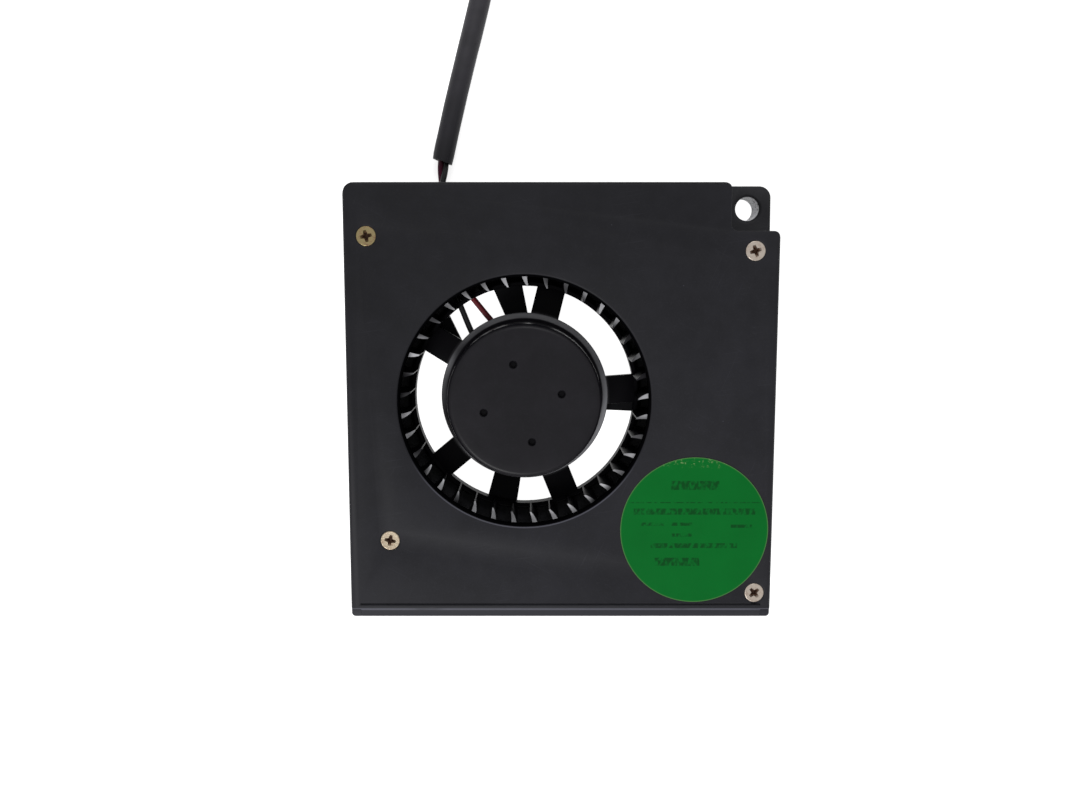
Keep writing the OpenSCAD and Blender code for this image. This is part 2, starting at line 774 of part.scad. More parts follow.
module lower_insulator() {
    color("#e7e3d6") {
        translate([0, 0, stack_mid - fit_gap]) mirror([0, 0, 1]) insulator_half();
        tube(motor_boss_r - 0.2, tube_r + fit_gap, boss_top,
            stack_mid - stack_len / 2 - insulator_t - boss_top);
    }
}

// One winding round a tooth that points along +x: a rounded frame with flat faces
module winding() {
    inner_w = tooth_w + 2 * insulator_t + 2 * fit_gap;
    inner_h = stack_len + 2 * insulator_t + 4 * fit_gap;
    outer_w = 2 * winding_half_w;
    outer_h = inner_h + 2 * winding_t;
    translate([winding_in_r, 0, 0]) rotate([90, 0, 90]) linear_extrude(winding_out_r - winding_in_r)
        difference() {
            translate([-outer_w / 2, -outer_h / 2]) square([outer_w, outer_h]);
            for (a = [0, 180]) rotate(a) {
                translate([-outer_w / 2, -outer_h / 2]) corner_waste(winding_t);
                mirror([1, 0]) translate([-outer_w / 2, -outer_h / 2]) corner_waste(winding_t);
            }
            translate([-inner_w / 2, -inner_h / 2]) square([inner_w, inner_h]);
        }
}

module stator_windings() {
    color("#b4602f") for (i = [0 : tooth_count - 1])
        translate([0, 0, stack_mid]) rotate(i * 360 / tooth_count) winding();
}

// ---- circuit board -------------------------------------------------------------------

module circuit_board() {
    color("#2e6b3c") difference() {
        tube(board_r, motor_boss_r + 0.2, board_z, board_t);
        translate([-over, -board_r - 0.6, board_z - over]) cube([2 * over, 1.2, board_t + 2 * over]);
    }
}

// Small moulded chip with legs, on the board at the given radius and angle
module chip(radius, angle, length, width) {
    rotate(angle) translate([radius, 0, board_top]) {
        translate([-width / 2, -length / 2, 0.1]) cube([width, length, chip_h - 0.1]);
        for (side = [-1, 1], along = [-1, 1])
            translate([side * (width / 2 + 0.1) - 0.2, along * length / 4 - 0.15, 0])
                cube([0.4, 0.3, 0.25]);
    }
}

module hall_sensor() {
    color("#222222") chip(board_r - 1.3, 45, 2.4, 1.3);
}

module driver_chip() {
    color("#222222") chip(board_r - 2.2, 225, 3, 1.9);
}

module chip_capacitor() {
    color("#b59a73") rotate(-60) translate([board_r - 1.6, -0.8, board_top]) cube([0.8, 1.6, 0.5]);
}

module solder_joints() {
    color("#c9ccd0") for (pad = [board_pad_black, board_pad_red])
        translate([pad.x, pad.y, lead_z + lead_r + fit_gap])
            cylinder(h = board_z - lead_z - lead_r - fit_gap, r = 0.45);
}

// ---- cable ---------------------------------------------------------------------------

// Point at fraction t between p1 and p2 on a smooth curve through p0..p3
function curve_point(p0, p1, p2, p3, t) =
    0.5 * (2 * p1 + (p2 - p0) * t + (2 * p0 - 5 * p1 + 4 * p2 - p3) * t * t
        + (3 * p1 - p0 - 3 * p2 + p3) * t * t * t);

// Smooth curve through a route, with the given number of steps per stretch
function smooth(route, steps) = let (last = len(route) - 1) concat(
    [for (i = [0 : last - 1], k = [0 : steps - 1])
        curve_point(route[max(i - 1, 0)], route[i], route[i + 1], route[min(i + 2, last)], k / steps)],
    [route[last]]);

// Direction of travel at point i of a curve
function heading(curve, i) =
    let (d = curve[min(i + 1, len(curve) - 1)] - curve[max(i - 1, 0)]) d / norm(d);

// Round tube of radius r swept along a curve that never runs straight up
module sweep_tube(curve, r, sides) {
    count = len(curve);
    points = [for (i = [0 : count - 1])
        let (along = heading(curve, i), side = cross([0, 0, 1], along) / norm(cross([0, 0, 1], along)),
            up = cross(along, side))
        for (k = [0 : sides - 1]) curve[i] + r * (side * cos(k * 360 / sides) + up * sin(k * 360 / sides))];
    walls = [for (i = [0 : count - 2], k = [0 : sides - 1])
        [i * sides + k, i * sides + (k + 1) % sides, (i + 1) * sides + (k + 1) % sides,
            (i + 1) * sides + k]];
    ends = [[for (k = [0 : sides - 1]) sides - 1 - k], [for (k = [0 : sides - 1]) (count - 1) * sides + k]];
    polyhedron(points = points, faces = concat([for (f = walls) [f[3], f[2], f[1], f[0]]],
        [for (f = ends) [for (k = [0 : sides - 1]) f[sides - 1 - k]]]), convexity = 6);
}

// Points of one lead where the pair is twisted between the housing and the sleeve
function twist(phase) = [for (i = [0 : 8])
    let (t = i / 8, a = phase + 360 * twist_turns * t)
    twist_start + (twist_end - twist_start) * t + twist_r * [cos(a), 0, sin(a)]];

module lead_red() {
    color("#8c2a30") sweep_tube(smooth(concat(red_route, twist(twist_phase)), 2), lead_r, 8);
}

module lead_black() {
    color("#222224") sweep_tube(smooth(concat(black_route, twist(twist_phase + 180)), 2), lead_r, 8);
}

module cable_sleeve() {
    color("#26272a") {
        sweep_tube(smooth(sleeve_route, 1), sleeve_r, 8);
        sweep_tube(smooth(tail_route, 2), sleeve_r, 8);
    }
}

module cable_coil() {
    color("#26272a") translate([coil_centre.x, coil_centre.y, coil_z])
        tube(coil_r + sleeve_r, coil_r - sleeve_r, 0, 2 * coil_turn_gap);
}

// Band round the coil's turns, with its two ends twisted together
module coil_tie() {
    inner = [2 * sleeve_r + 0.4, 2 * coil_turn_gap + 0.1];
    color("#3b3c40") translate([coil_centre.x, coil_centre.y, 0]) rotate(tie_angle)
        translate([coil_r, tie_w / 2, 0]) rotate([90, 0, 0]) {
            linear_extrude(tie_w) translate([0, coil_z + coil_turn_gap]) difference() {
                square([inner.x + 2 * tie_t, inner.y + 2 * tie_t], center = true);
                square(inner, center = true);
            }
            translate([inner.x / 2 + tie_t, coil_z + coil_turn_gap, tie_w / 2]) rotate([0, 90, 0])
                cylinder(h = tie_tail_len, r = tie_tail_r);
        }
}

// Places its children at the connector: +x points into the mating face, z = 0 on the ground
module at_plug() {
    translate(plug_spot) rotate(plug_angle) children();
}

// Route of a free lead from the sleeve's end into the connector
function tail_lead(side) = let (
    away = side * contact_pitch / 2,
    entry = [plug_spot.x - away * sin(plug_angle), plug_spot.y + away * cos(plug_angle), plug_h / 2],
    back = [cos(plug_angle), sin(plug_angle), 0])
    [tail_start + [0.2, side * twist_r, 0], tail_start + [2.5, side * (twist_r + 0.1) + 0.3, 0],
        entry - 2.5 * back, entry, entry + (terminal_in - 0.1) * back];

module lead_tail_red() {
    color("#8c2a30") sweep_tube(smooth(tail_lead(1), 3), lead_r, 8);
}

module lead_tail_black() {
    color("#222224") sweep_tube(smooth(tail_lead(-1), 3), lead_r, 8);
}

module connector_housing() {
    cavity = contact_pitch - 0.6;
    color("#e8e6e0") at_plug() difference() {
        union() {
            translate([0, -plug_w / 2, 0]) cube([plug_len, plug_w, plug_h]);
            translate([plug_len * 0.35, -plug_w / 4, plug_h]) cube([plug_len * 0.3, plug_w / 2, 0.4]);
        }
        for (side = [-1, 1]) translate([-over, side * contact_pitch / 2 - cavity / 2, (plug_h - cavity) / 2])
            cube([plug_len + 2 * over, cavity, cavity]);
        for (side = [-1, 1]) translate([plug_len * 0.15, side * contact_pitch / 2 - 0.35, plug_h / 2])
            cube([plug_len * 0.15, 0.7, plug_h]);
    }
}

module crimp_terminals() {
    body = contact_pitch - 0.7;
    terminal_len = plug_len - terminal_in - terminal_out;
    color("#cfc7a8") at_plug() for (side = [-1, 1])
        translate([terminal_in, side * contact_pitch / 2 - body / 2, (plug_h - body) / 2]) difference() {
            cube([terminal_len, body, body]);
            translate([terminal_len - terminal_socket, body / 4, body / 4])
                cube([terminal_len, body / 2, body / 2]);
        }
}

base_housing();
top_cover();
cover_screws();
label();
impeller();
rotor_cup();
ring_magnet();
shaft();
rotor_bushing();
oil_washer();
shaft_clip();
wear_pad();
bearing_tube();
sleeve_bearing();
stator_core();
upper_insulator();
lower_insulator();
stator_windings();
circuit_board();
hall_sensor();
driver_chip();
chip_capacitor();
solder_joints();
lead_red();
lead_black();
cable_sleeve();
cable_coil();
coil_tie();
lead_tail_red();
lead_tail_black();
connector_housing();
crimp_terminals();
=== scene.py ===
"""Looks of a flat blower fan: detailed pieces, finishes, studio and camera.

Everything lies in the construction's frame, in metres: the origin is on the rotor axis
at the back face, +Z comes out of the front inlet and +Y points to the cable side.
The classes hold their sizes in millimetres.
"""

import logging
import math
import random
from dataclasses import dataclass
from enum import Enum
from typing import Any, Callable, Optional, Sequence

import bmesh
import bpy
from mathutils import Matrix, Vector, noise


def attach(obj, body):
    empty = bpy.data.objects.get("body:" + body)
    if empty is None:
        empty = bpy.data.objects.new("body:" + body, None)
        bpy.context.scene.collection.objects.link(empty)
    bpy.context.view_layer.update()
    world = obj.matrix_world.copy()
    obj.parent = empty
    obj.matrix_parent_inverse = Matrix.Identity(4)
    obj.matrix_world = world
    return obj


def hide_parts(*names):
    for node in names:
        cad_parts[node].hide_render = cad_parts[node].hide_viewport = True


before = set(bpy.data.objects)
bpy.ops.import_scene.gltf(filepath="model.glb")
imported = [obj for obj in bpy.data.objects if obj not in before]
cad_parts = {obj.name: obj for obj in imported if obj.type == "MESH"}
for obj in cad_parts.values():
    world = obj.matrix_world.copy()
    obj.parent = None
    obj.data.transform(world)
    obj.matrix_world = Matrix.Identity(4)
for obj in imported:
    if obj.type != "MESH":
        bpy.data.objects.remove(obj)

MM = 0.001
Triple = tuple[float, float, float]
Piece = bpy.types.Object
Socket = bpy.types.NodeSocket
log = logging.getLogger("blower_fan")


class Body(str, Enum):
    """The two bodies of the fan."""

    HOUSING = "housing"
    ROTOR = "rotor"


class Grain(Enum):
    """Which way a metal's fine lines run."""

    ROUND = "round the Z axis"
    ALONG_X = "along X"
    NONE = "no lines"


# ---- mesh and node helpers -----------------------------------------------------------


def add_node(tree: bpy.types.NodeTree, kind: str, sockets: Optional[dict] = None, **settings: Any) -> Any:
    """Adds a node, with its settings and its inputs set or linked.

    Args:
        tree: The shader or geometry tree.
        kind: The node's type name.
        sockets: Input name or index, with a plain value or a socket to link from.
        **settings: Attributes of the node itself.

    Returns:
        The new node.
    """
    node = tree.nodes.new(kind)
    for key, value in settings.items():
        setattr(node, key, value)
    for key, value in (sockets or {}).items():
        if isinstance(value, Socket):
            tree.links.new(value, node.inputs[key])
        else:
            node.inputs[key].default_value = value
    return node


def math_node(tree: bpy.types.NodeTree, operation: str, *values: Any) -> Socket:
    """Adds a Math node and returns its output.

    Args:
        tree: The shader or geometry tree.
        operation: The Math node's operation.
        *values: Numbers or sockets, in order.

    Returns:
        The output socket.
    """
    return add_node(tree, "ShaderNodeMath", dict(enumerate(values)), operation=operation).outputs[0]


def mesh_from(name: str, verts: Sequence[Sequence[float]], faces: Sequence[Sequence[int]]) -> bpy.types.Mesh:
    """Makes a mesh from points in millimetres.

    Args:
        name: The mesh's name.
        verts: The points.
        faces: Corner numbers of each face.

    Returns:
        The mesh, in metres.
    """
    mesh = bpy.data.meshes.new(name)
    mesh.from_pydata([Vector(v) * MM for v in verts], [], faces)
    mesh.validate()
    return mesh


def add_piece(name: str, mesh: bpy.types.Mesh) -> Piece:
    """Links a mesh to the scene as an object at the origin."""
    piece = bpy.data.objects.new(name, mesh)
    bpy.context.scene.collection.objects.link(piece)
    return piece


def sharpen(mesh: bpy.types.Mesh, degrees: float = 32.0) -> None:
    """Shades a mesh smooth, with the edges over an angle kept sharp."""
    mesh.polygons.foreach_set("use_smooth", [True] * len(mesh.polygons))
    mesh.set_sharp_from_angle(angle=math.radians(degrees))


def tidy_normals(mesh: bpy.types.Mesh, merge_mm: float = 0.0005) -> None:
    """Merges doubled points and turns every face outwards."""
    work = bmesh.new()
    work.from_mesh(mesh)
    bmesh.ops.remove_doubles(work, verts=work.verts, dist=merge_mm * MM)
    bmesh.ops.recalc_face_normals(work, faces=work.faces)
    work.to_mesh(mesh)
    work.free()


def bake_modifiers(piece: Piece) -> Piece:
    """Turns a piece's modifiers into plain mesh and removes them.

    Args:
        piece: The object with live modifiers.

    Returns:
        The same object, with its final mesh.
    """
    graph = bpy.context.evaluated_depsgraph_get()
    mesh = bpy.data.meshes.new_from_object(piece.evaluated_get(graph), depsgraph=graph)
    piece.modifiers.clear()
    piece.data = mesh
    return piece


def bool_cut(piece: Piece, cutter: bpy.types.Mesh) -> Piece:
    """Cuts a mesh out of a piece.

    Args:
        piece: The piece to cut.
        cutter: The closed mesh to remove.

    Returns:
        The same object, cut.
    """
    tool = add_piece("cutter", cutter)
    cut = piece.modifiers.new("cut", "BOOLEAN")
    cut.operation, cut.solver, cut.object = "DIFFERENCE", "EXACT", tool
    bake_modifiers(piece)
    bpy.data.objects.remove(tool)
    return piece


def revolve(profile: Sequence[tuple[float, float]], sides: int, closed: bool) -> tuple[list, list]:
    """Turns a half-section round the Z axis.

    Args:
        profile: Radius and height of each point, in millimetres, anticlockwise.
        sides: Steps round the axis.
        closed: True if the last point joins the first.

    Returns:
        The points and the faces.
    """
    verts = [(r * math.cos(math.tau * k / sides), r * math.sin(math.tau * k / sides), z)
             for r, z in profile for k in range(sides)]
    rows = len(profile)
    faces = []
    for i in range(rows if closed else rows - 1):
        for k in range(sides):
            a, b = i * sides + k, i * sides + (k + 1) % sides
            j = (i + 1) % rows
            faces.append((a, b, j * sides + (k + 1) % sides, j * sides + k))
    return verts, faces


def arc(cx: float, cz: float, r: float, start: float, end: float, steps: int) -> list[tuple[float, float]]:
    """Points of an arc in a half-section, from one angle to another in degrees."""
    turns = [math.radians(start + (end - start) * i / steps) for i in range(steps + 1)]
    return [(cx + r * math.cos(a), cz + r * math.sin(a)) for a in turns]


def smooth_path(points: Sequence[Sequence[float]], steps: int) -> list[Vector]:
    """Passes one smooth curve through route points.

    Args:
        points: The route, in millimetres.
        steps: Steps from one route point to the next.

    Returns:
        The curve's points, in millimetres.
    """
    route = [Vector(p) for p in points]
    last = len(route) - 1
    curve = []
    for i in range(last):
        p0, p1, p2, p3 = route[max(i - 1, 0)], route[i], route[i + 1], route[min(i + 2, last)]
        for k in range(steps):
            t = k / steps
            curve.append(0.5 * (2 * p1 + (p2 - p0) * t + (2 * p0 - 5 * p1 + 4 * p2 - p3) * t * t
                                + (3 * p1 - p0 - 3 * p2 + p3) * t ** 3))
    return curve + [route[last]]


def path_length(curve: Sequence[Vector]) -> float:
    """Length of a run of points."""
    return sum((b - a).length for a, b in zip(curve, curve[1:]))


def sweep(name: str, curve: Sequence[Vector], sides: int,
          section: Callable[[float, float, float], tuple[float, float]],
          wall: float = 0.0, skew: float = 0.0) -> bpy.types.Mesh:
    """Sweeps a round section along a curve, with UVs along and round it.

    Args:
        name: The mesh's name.
        curve: The centreline, in millimetres.
        sides: Points round the section.
        section: Gives the two radii at a fraction along, an angle and a length in millimetres.
        wall: Wall of a hollow end, or 0 for a solid one.
        skew: How far the first ring is slanted, in millimetres.

    Returns:
        The closed mesh, in metres.
    """
    total, run = path_length(curve), 0.0
    rings, places = [], []
    side = Vector((0, 0, 1)).cross(curve[1] - curve[0]).normalized()
    for i, point in enumerate(curve):
        along = (curve[min(i + 1, len(curve) - 1)] - curve[max(i - 1, 0)]).normalized()
        side = (side - along * side.dot(along)).normalized()
        up = along.cross(side)
        if i:
            run += (point - curve[i - 1]).length
        ring = []
        for k in range(sides):
            a = math.tau * k / sides
            wide, high = section(run / total, a, run)
            slant = skew * math.cos(a) * max(0.0, 1 - run / 1.0)
            ring.append(point + side * wide * math.cos(a) + up * high * math.sin(a) + along * slant)
        rings.append(ring)
        places.append(run)
    if wall:
        mouths = []
        for ring, centre, ahead in ((rings[0], curve[0], curve[3]), (rings[-1], curve[-1], curve[-4])):
            mouth = [centre.lerp(p, 1 - wall / (p - centre).length) for p in ring]
            mouths.append((mouth, [p + ahead - centre for p in mouth]))
        rings = [mouths[0][1], mouths[0][0]] + rings + [mouths[1][0], mouths[1][1]]
        places = [0.0, 0.0] + places + [run, run]
    verts = [p for ring in rings for p in ring]
    faces = [(i * sides + k, (i + 1) * sides + k, (i + 1) * sides + (k + 1) % sides,
              i * sides + (k + 1) % sides)
             for i in range(len(rings) - 1) for k in range(sides)]
    top = (len(rings) - 1) * sides
    faces += [tuple(range(sides)), tuple(top + k for k in reversed(range(sides)))]
    mesh = mesh_from(name, verts, faces)
    layer = mesh.uv_layers.new(name="along")
    for face in mesh.polygons:
        columns = [mesh.loops[n].vertex_index % sides for n in face.loop_indices]
        wraps = max(columns) == sides - 1 and min(columns) == 0 and len(columns) == 4
        for n, column in zip(face.loop_indices, columns):
            row = mesh.loops[n].vertex_index // sides
            turn = 1.0 if wraps and column == 0 else column / sides
            layer.data[n].uv = (turn, places[row] / 10)
    tidy_normals(mesh, 0.0)
    sharpen(mesh, 45)
    return mesh


def edged_copy(node: str, name: str, width: float, segments: int = 2) -> Piece:
    """Copies a construction node and rounds its sharp edges.

    Args:
        node: The node's name.
        name: The new piece's name.
        width: Width of the rounding, in millimetres.
        segments: Facets across the rounding.

    Returns:
        The new piece.
    """
    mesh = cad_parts[node].data.copy()
    mesh.name = name
    work = bmesh.new()
    work.from_mesh(mesh)
    bmesh.ops.remove_doubles(work, verts=work.verts, dist=0.0002 * MM)
    bmesh.ops.dissolve_limit(work, angle_limit=math.radians(0.6), verts=work.verts, edges=work.edges,
                             delimit=set())
    work.to_mesh(mesh)
    work.free()
    mesh.materials.clear()
    piece = add_piece(name, mesh)
    bevel = piece.modifiers.new("edges", "BEVEL")
    bevel.width, bevel.segments = width * MM, segments
    bevel.limit_method, bevel.angle_limit = "ANGLE", math.radians(34)
    bevel.use_clamp_overlap = False
    bevel.miter_outer = "MITER_SHARP"
    bake_modifiers(piece)
    sharpen(piece.data, 40)
    return piece


def dress(piece: Piece, *finishes: Any) -> Piece:
    """Gives a piece its finishes, one for each material slot."""
    piece.data.materials.clear()
    for finish in finishes:
        piece.data.materials.append(finish.build())
    return piece


def place(piece: Piece, body: Body, slot: str, *nodes: str) -> Piece:
    """Puts a finished piece on its body.

    Args:
        piece: The finished piece.
        body: The body that it rides on.
        slot: The name of its material slot; not used.
        *nodes: The construction nodes that it stands for.

    Returns:
        The same piece.
    """
    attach(piece, body.value)
    if nodes:
        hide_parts(*nodes)
    log.info("%s: %d faces, on %s", piece.name, len(piece.data.polygons), body.value)
    return piece


# ---- finishes ------------------------------------------------------------------------


def linear(red: int, green: int, blue: int) -> tuple[float, float, float, float]:
    """A colour from 0 to 255 a channel, as the shaders want it."""
    parts = [c / 255 for c in (red, green, blue)]
    done = [c / 12.92 if c <= 0.04045 else ((c + 0.055) / 1.055) ** 2.4 for c in parts]
    return (done[0], done[1], done[2], 1.0)


def scaled(colour: Sequence[float], factor: float) -> tuple[float, float, float, float]:
    """A colour made lighter or darker."""
    return (min(1.0, colour[0] * factor), min(1.0, colour[1] * factor), min(1.0, colour[2] * factor), 1.0)


class Sheet:
    """A material's node tree while it is being built."""

    def __init__(self, name: str) -> None:
        """Starts an empty material with a Principled shader."""
        self.material = bpy.data.materials.new(name)
        self.material.use_nodes = True
        self.tree = self.material.node_tree
        self.tree.nodes.clear()
        self.shader = self.add("ShaderNodeBsdfPrincipled")
        self.output = self.add("ShaderNodeOutputMaterial", {"Surface": self.shader.outputs[0]})
        self.place = self.add("ShaderNodeTexCoord").outputs["Object"]

    def add(self, kind: str, sockets: Optional[dict] = None, **settings: Any) -> Any:
        """Adds a node to the tree."""
        return add_node(self.tree, kind, sockets, **settings)

    def math(self, operation: str, *values: Any) -> Socket:
        """Adds a Math node and returns its output."""
        return math_node(self.tree, operation, *values)

    def noise(self, size_mm: float, detail: float = 2.0, place: Optional[Socket] = None,
              rough: float = 0.5) -> Socket:
        """Noise whose features are about size_mm across, from 0 to 1."""
        return self.add("ShaderNodeTexNoise", {"Vector": place or self.place, "Scale": 1 / (size_mm * MM),
                                               "Detail": detail, "Roughness": rough}).outputs[0]

    def ramp(self, value: Socket, low: float, high: float) -> Socket:
        """Stretches low..high of a value to 0..1, smoothly."""
        return self.add("ShaderNodeMapRange", {"Value": value, "From Min": low, "From Max": high},
                        interpolation_type="SMOOTHSTEP").outputs[0]

    def blend(self, factor: Any, first: Any, second: Any) -> Socket:
        """Mixes two colours."""
        return self.add("ShaderNodeMix", {0: factor, 6: first, 7: second}, data_type="RGBA").outputs[2]

    def turned(self, degrees: float, stretch: Triple = (1, 1, 1), centre: Triple = (0, 0, 0)) -> Socket:
        """Object coordinates about a centre in millimetres, turned round Z, then stretched."""
        moved = self.add("ShaderNodeVectorMath", {0: self.place, 1: tuple(c * MM for c in centre)},
                         operation="SUBTRACT").outputs[0]
        spun = self.add("ShaderNodeVectorRotate", {"Vector": moved, "Angle": math.radians(degrees)},
                        rotation_type="Z_AXIS").outputs[0]
        return self.add("ShaderNodeVectorMath", {0: spun, 1: stretch}, operation="MULTIPLY").outputs[0]

    def bump(self, height: Socket, depth_mm: float, under: Optional[Socket] = None,
             strength: float = 1.0) -> Socket:
        """Bump of a height from 0 to 1, depth_mm deep."""
        wires = {"Height": height, "Distance": depth_mm * MM, "Strength": strength}
        if under is not None:
            wires["Normal"] = under
        return self.add("ShaderNodeBump", wires).outputs[0]

    def finish(self, colour: Any, roughness: Any, normal: Optional[Socket] = None,
               **plain: Any) -> bpy.types.Material:
        """Wires the shader.

        Args:
            colour: The base colour, plain or linked.
            roughness: The roughness, plain or linked.
            normal: The bumped normal.
            **plain: Uniform values, set on the shader's own sockets.

        Returns:
            The material.
        """
        for key, value in (("Base Color", colour), ("Roughness", roughness), ("Normal", normal)):
            if isinstance(value, Socket):
                self.tree.links.new(value, self.shader.inputs[key])
            elif value is not None:
                self.shader.inputs[key].default_value = value
        for key, value in plain.items():
            self.shader.inputs[key.replace("_", " ")].default_value = value
        return self.material


@dataclass(frozen=True)
class MouldedPlastic:
    """Moulded plastic with a fine eroded grain, soft clouds, hairline scratches and dust."""

    name: str
    colour: tuple[float, float, float, float]
    roughness: float = 0.5
    specular: float = 0.2
    grain_mm: float = 0.22
    grain_depth: float = 0.006
    clouds: float = 0.16
    scratches: float = 0.35
    dust: float = 0.5
    lit_lip_y: Optional[float] = None
    lit_bore: Optional[tuple[float, float, float]] = None
    depth_shaded: bool = False

    def lip_marks(self, sheet: Sheet, colour: Socket, axes: Sequence[Socket],
                  reach: Socket) -> tuple[Socket, Socket]:
        """Adds the cover's painted light and shade: a painted fall of light, a lip painted lit with a painted
        highlight on its crest, painted shade on the inlet wall and a painted highlight on its lower rim.

        Args:
            sheet: The material being built.
            colour: The colour so far.
            axes: X, Y and Z of the shaded point.
            reach: Its distance from the rotor axis.

        Returns:
            The colour, and how much painted shade it has, which also dims its reflections.
        """
        # Painted light: the cover is painted lighter towards low Y and high X, following how the light falls.
        fall = sheet.math("SUBTRACT", sheet.math("MULTIPLY", axes[0], 0.6), axes[1])
        level = sheet.math("ADD", 0.76, sheet.math("MULTIPLY", sheet.ramp(fall, -0.026, 0.026), 0.4))
        colour = sheet.add("ShaderNodeVectorMath", {0: colour, "Scale": level}, operation="SCALE").outputs[0]
        # Painted light: the sloping lip past this Y is painted lighter, as if lit.
        past = sheet.math("SUBTRACT", axes[1], self.lit_lip_y * MM)
        slope = sheet.math("MULTIPLY", sheet.ramp(past, 0.0, -0.1 * MM), 0.6)
        colour = sheet.blend(slope, colour, scaled(self.colour, 2.6))
        # Painted highlight: a thin bright line along the lip's crest, broken up by noise.
        line = sheet.ramp(sheet.math("ABSOLUTE", past), 0.17 * MM, 0.06 * MM)
        line_breakup = sheet.noise(1.6, 3, sheet.turned(0, (0.2, 1, 1)))
        line = sheet.math("MULTIPLY", line, sheet.ramp(line_breakup, 0.2, 0.5))
        # Painted highlight: a thin bright crescent on the inlet's lower rim.
        off_rim = sheet.math("ABSOLUTE", sheet.math("SUBTRACT", reach, 15.2 * MM))
        rim = sheet.math("MULTIPLY", sheet.ramp(off_rim, 0.1 * MM, 0.04 * MM),
                         sheet.ramp(axes[1], -6 * MM, -12 * MM))
        # Painted shade: the inlet's wall is painted near black, and the same mask dims its reflections.
        wall = sheet.ramp(reach, 15.14 * MM, 15.06 * MM)
        colour = sheet.blend(wall, colour, scaled(self.colour, 0.15))
        bright = sheet.math("MAXIMUM", line, sheet.math("MULTIPLY", rim, 0.8))
        return sheet.blend(bright, colour, scaled(self.colour, 7.5)), wall

    def well_marks(self, sheet: Sheet, colour: Socket, axes: Sequence[Socket],
                   reach: Socket) -> tuple[Socket, Socket]:
        """Adds the base's painted light and shade: a painted reflection in the ear's bore and painted shade
        under the impeller.

        Args:
            sheet: The material being built.
            colour: The colour so far.
            axes: X, Y and Z of the shaded point.
            reach: Its distance from the rotor axis.

        Returns:
            The colour, and how much painted shade it has, which also dims its reflections.
        """
        # Painted reflection: the ear's bore wall is painted near white, as if mirroring the white floor.
        x, y, radius = self.lit_bore
        flat = sheet.add("ShaderNodeVectorMath", {0: sheet.turned(0, (1, 1, 0), (x, y, 0))},
                         operation="LENGTH")
        inside = sheet.ramp(flat.outputs[1], (radius + 0.06) * MM, (radius + 0.02) * MM)
        inside = sheet.math("MULTIPLY", inside, sheet.ramp(sheet.noise(0.3, 3), 0.3, 0.45))
        colour = sheet.blend(inside, colour, linear(250, 250, 252))
        # Painted shade: under the impeller the base is painted near black, and the same mask dims its
        # reflections.
        well = sheet.math("MULTIPLY", sheet.ramp(reach, 14.9 * MM, 14.7 * MM), 0.82)
        return sheet.blend(well, colour, scaled(self.colour, 0.15)), well

    def wheel_marks(self, sheet: Sheet, colour: Socket, axes: Sequence[Socket],
                    reach: Socket) -> tuple[Socket, Socket]:
        """Adds the impeller's painted light and shade: painted shade in the depth and in the dimples, painted
        highlights on the blade tips and painted light on the flange.

        Args:
            sheet: The material being built.
            colour: The colour so far.
            axes: X, Y and Z of the shaded point.
            reach: Its distance from the rotor axis.

        Returns:
            The colour, and how much painted shade it has, which also dims its reflections.
        """
        # Painted shade: spokes, rings and blade feet out past the flange and below the blade tops are painted
        # near black.
        wheel = sheet.math("MULTIPLY", sheet.ramp(reach, 10.3 * MM, 10.7 * MM),
                           sheet.ramp(axes[2], 8.3 * MM, 8.1 * MM))
        # Painted highlight: the blades' top edges are painted pale, in patches.
        tips = sheet.math("MULTIPLY", sheet.ramp(reach, 13.2 * MM, 13.4 * MM),
                          sheet.ramp(axes[2], 8.15 * MM, 8.3 * MM))
        tips = sheet.math("MULTIPLY", tips, sheet.ramp(sheet.noise(5.0, 1), 0.35, 0.6))
        colour = sheet.blend(tips, colour, linear(190, 190, 194))
        # Painted light: a pale band is painted on the flange round the hub, in patches.
        off_flange = sheet.math("ABSOLUTE", sheet.math("SUBTRACT", reach, 10.05 * MM))
        lit = sheet.math("MULTIPLY", sheet.ramp(off_flange, 0.4 * MM, 0.2 * MM),
                         sheet.ramp(axes[2], 4.4 * MM, 3.9 * MM))
        lit = sheet.math("MULTIPLY", lit, sheet.ramp(sheet.noise(8.0, 1), 0.35, 0.6))
        colour = sheet.blend(lit, colour, linear(132, 132, 136))
        # Painted shade: the dimple pits are painted darker.
        pit = sheet.math("MULTIPLY", sheet.ramp(reach, 6.6 * MM, 6.2 * MM),
                         sheet.ramp(axes[2], 9.12 * MM, 9.0 * MM))
        wheel_shade = sheet.math("MAXIMUM", sheet.math("MULTIPLY", wheel, 0.82), sheet.math("MULTIPLY", pit, 0.7))
        return sheet.blend(wheel_shade, colour, scaled(self.colour, 0.18)), wheel_shade

    def local_marks(self, sheet: Sheet, colour: Socket) -> tuple[Socket, Any]:
        """Adds the painted light and shade of one place and gives the specular level that goes with them.

        Args:
            sheet: The material being built.
            colour: The colour so far.

        Returns:
            The colour and the specular level.
        """
        marks = self.lip_marks if self.lit_lip_y is not None else None
        marks = self.well_marks if self.lit_bore is not None else marks
        marks = self.wheel_marks if self.depth_shaded else marks
        if marks is None:
            return colour, self.specular
        axes = sheet.add("ShaderNodeSeparateXYZ", {0: sheet.place}).outputs
        flat = sheet.add("ShaderNodeVectorMath", {0: sheet.turned(0, (1, 1, 0))}, operation="LENGTH")
        colour, shade_amount = marks(sheet, colour, axes, flat.outputs[1])
        return colour, sheet.math("MULTIPLY", sheet.math("SUBTRACT", 1.0, shade_amount), self.specular)

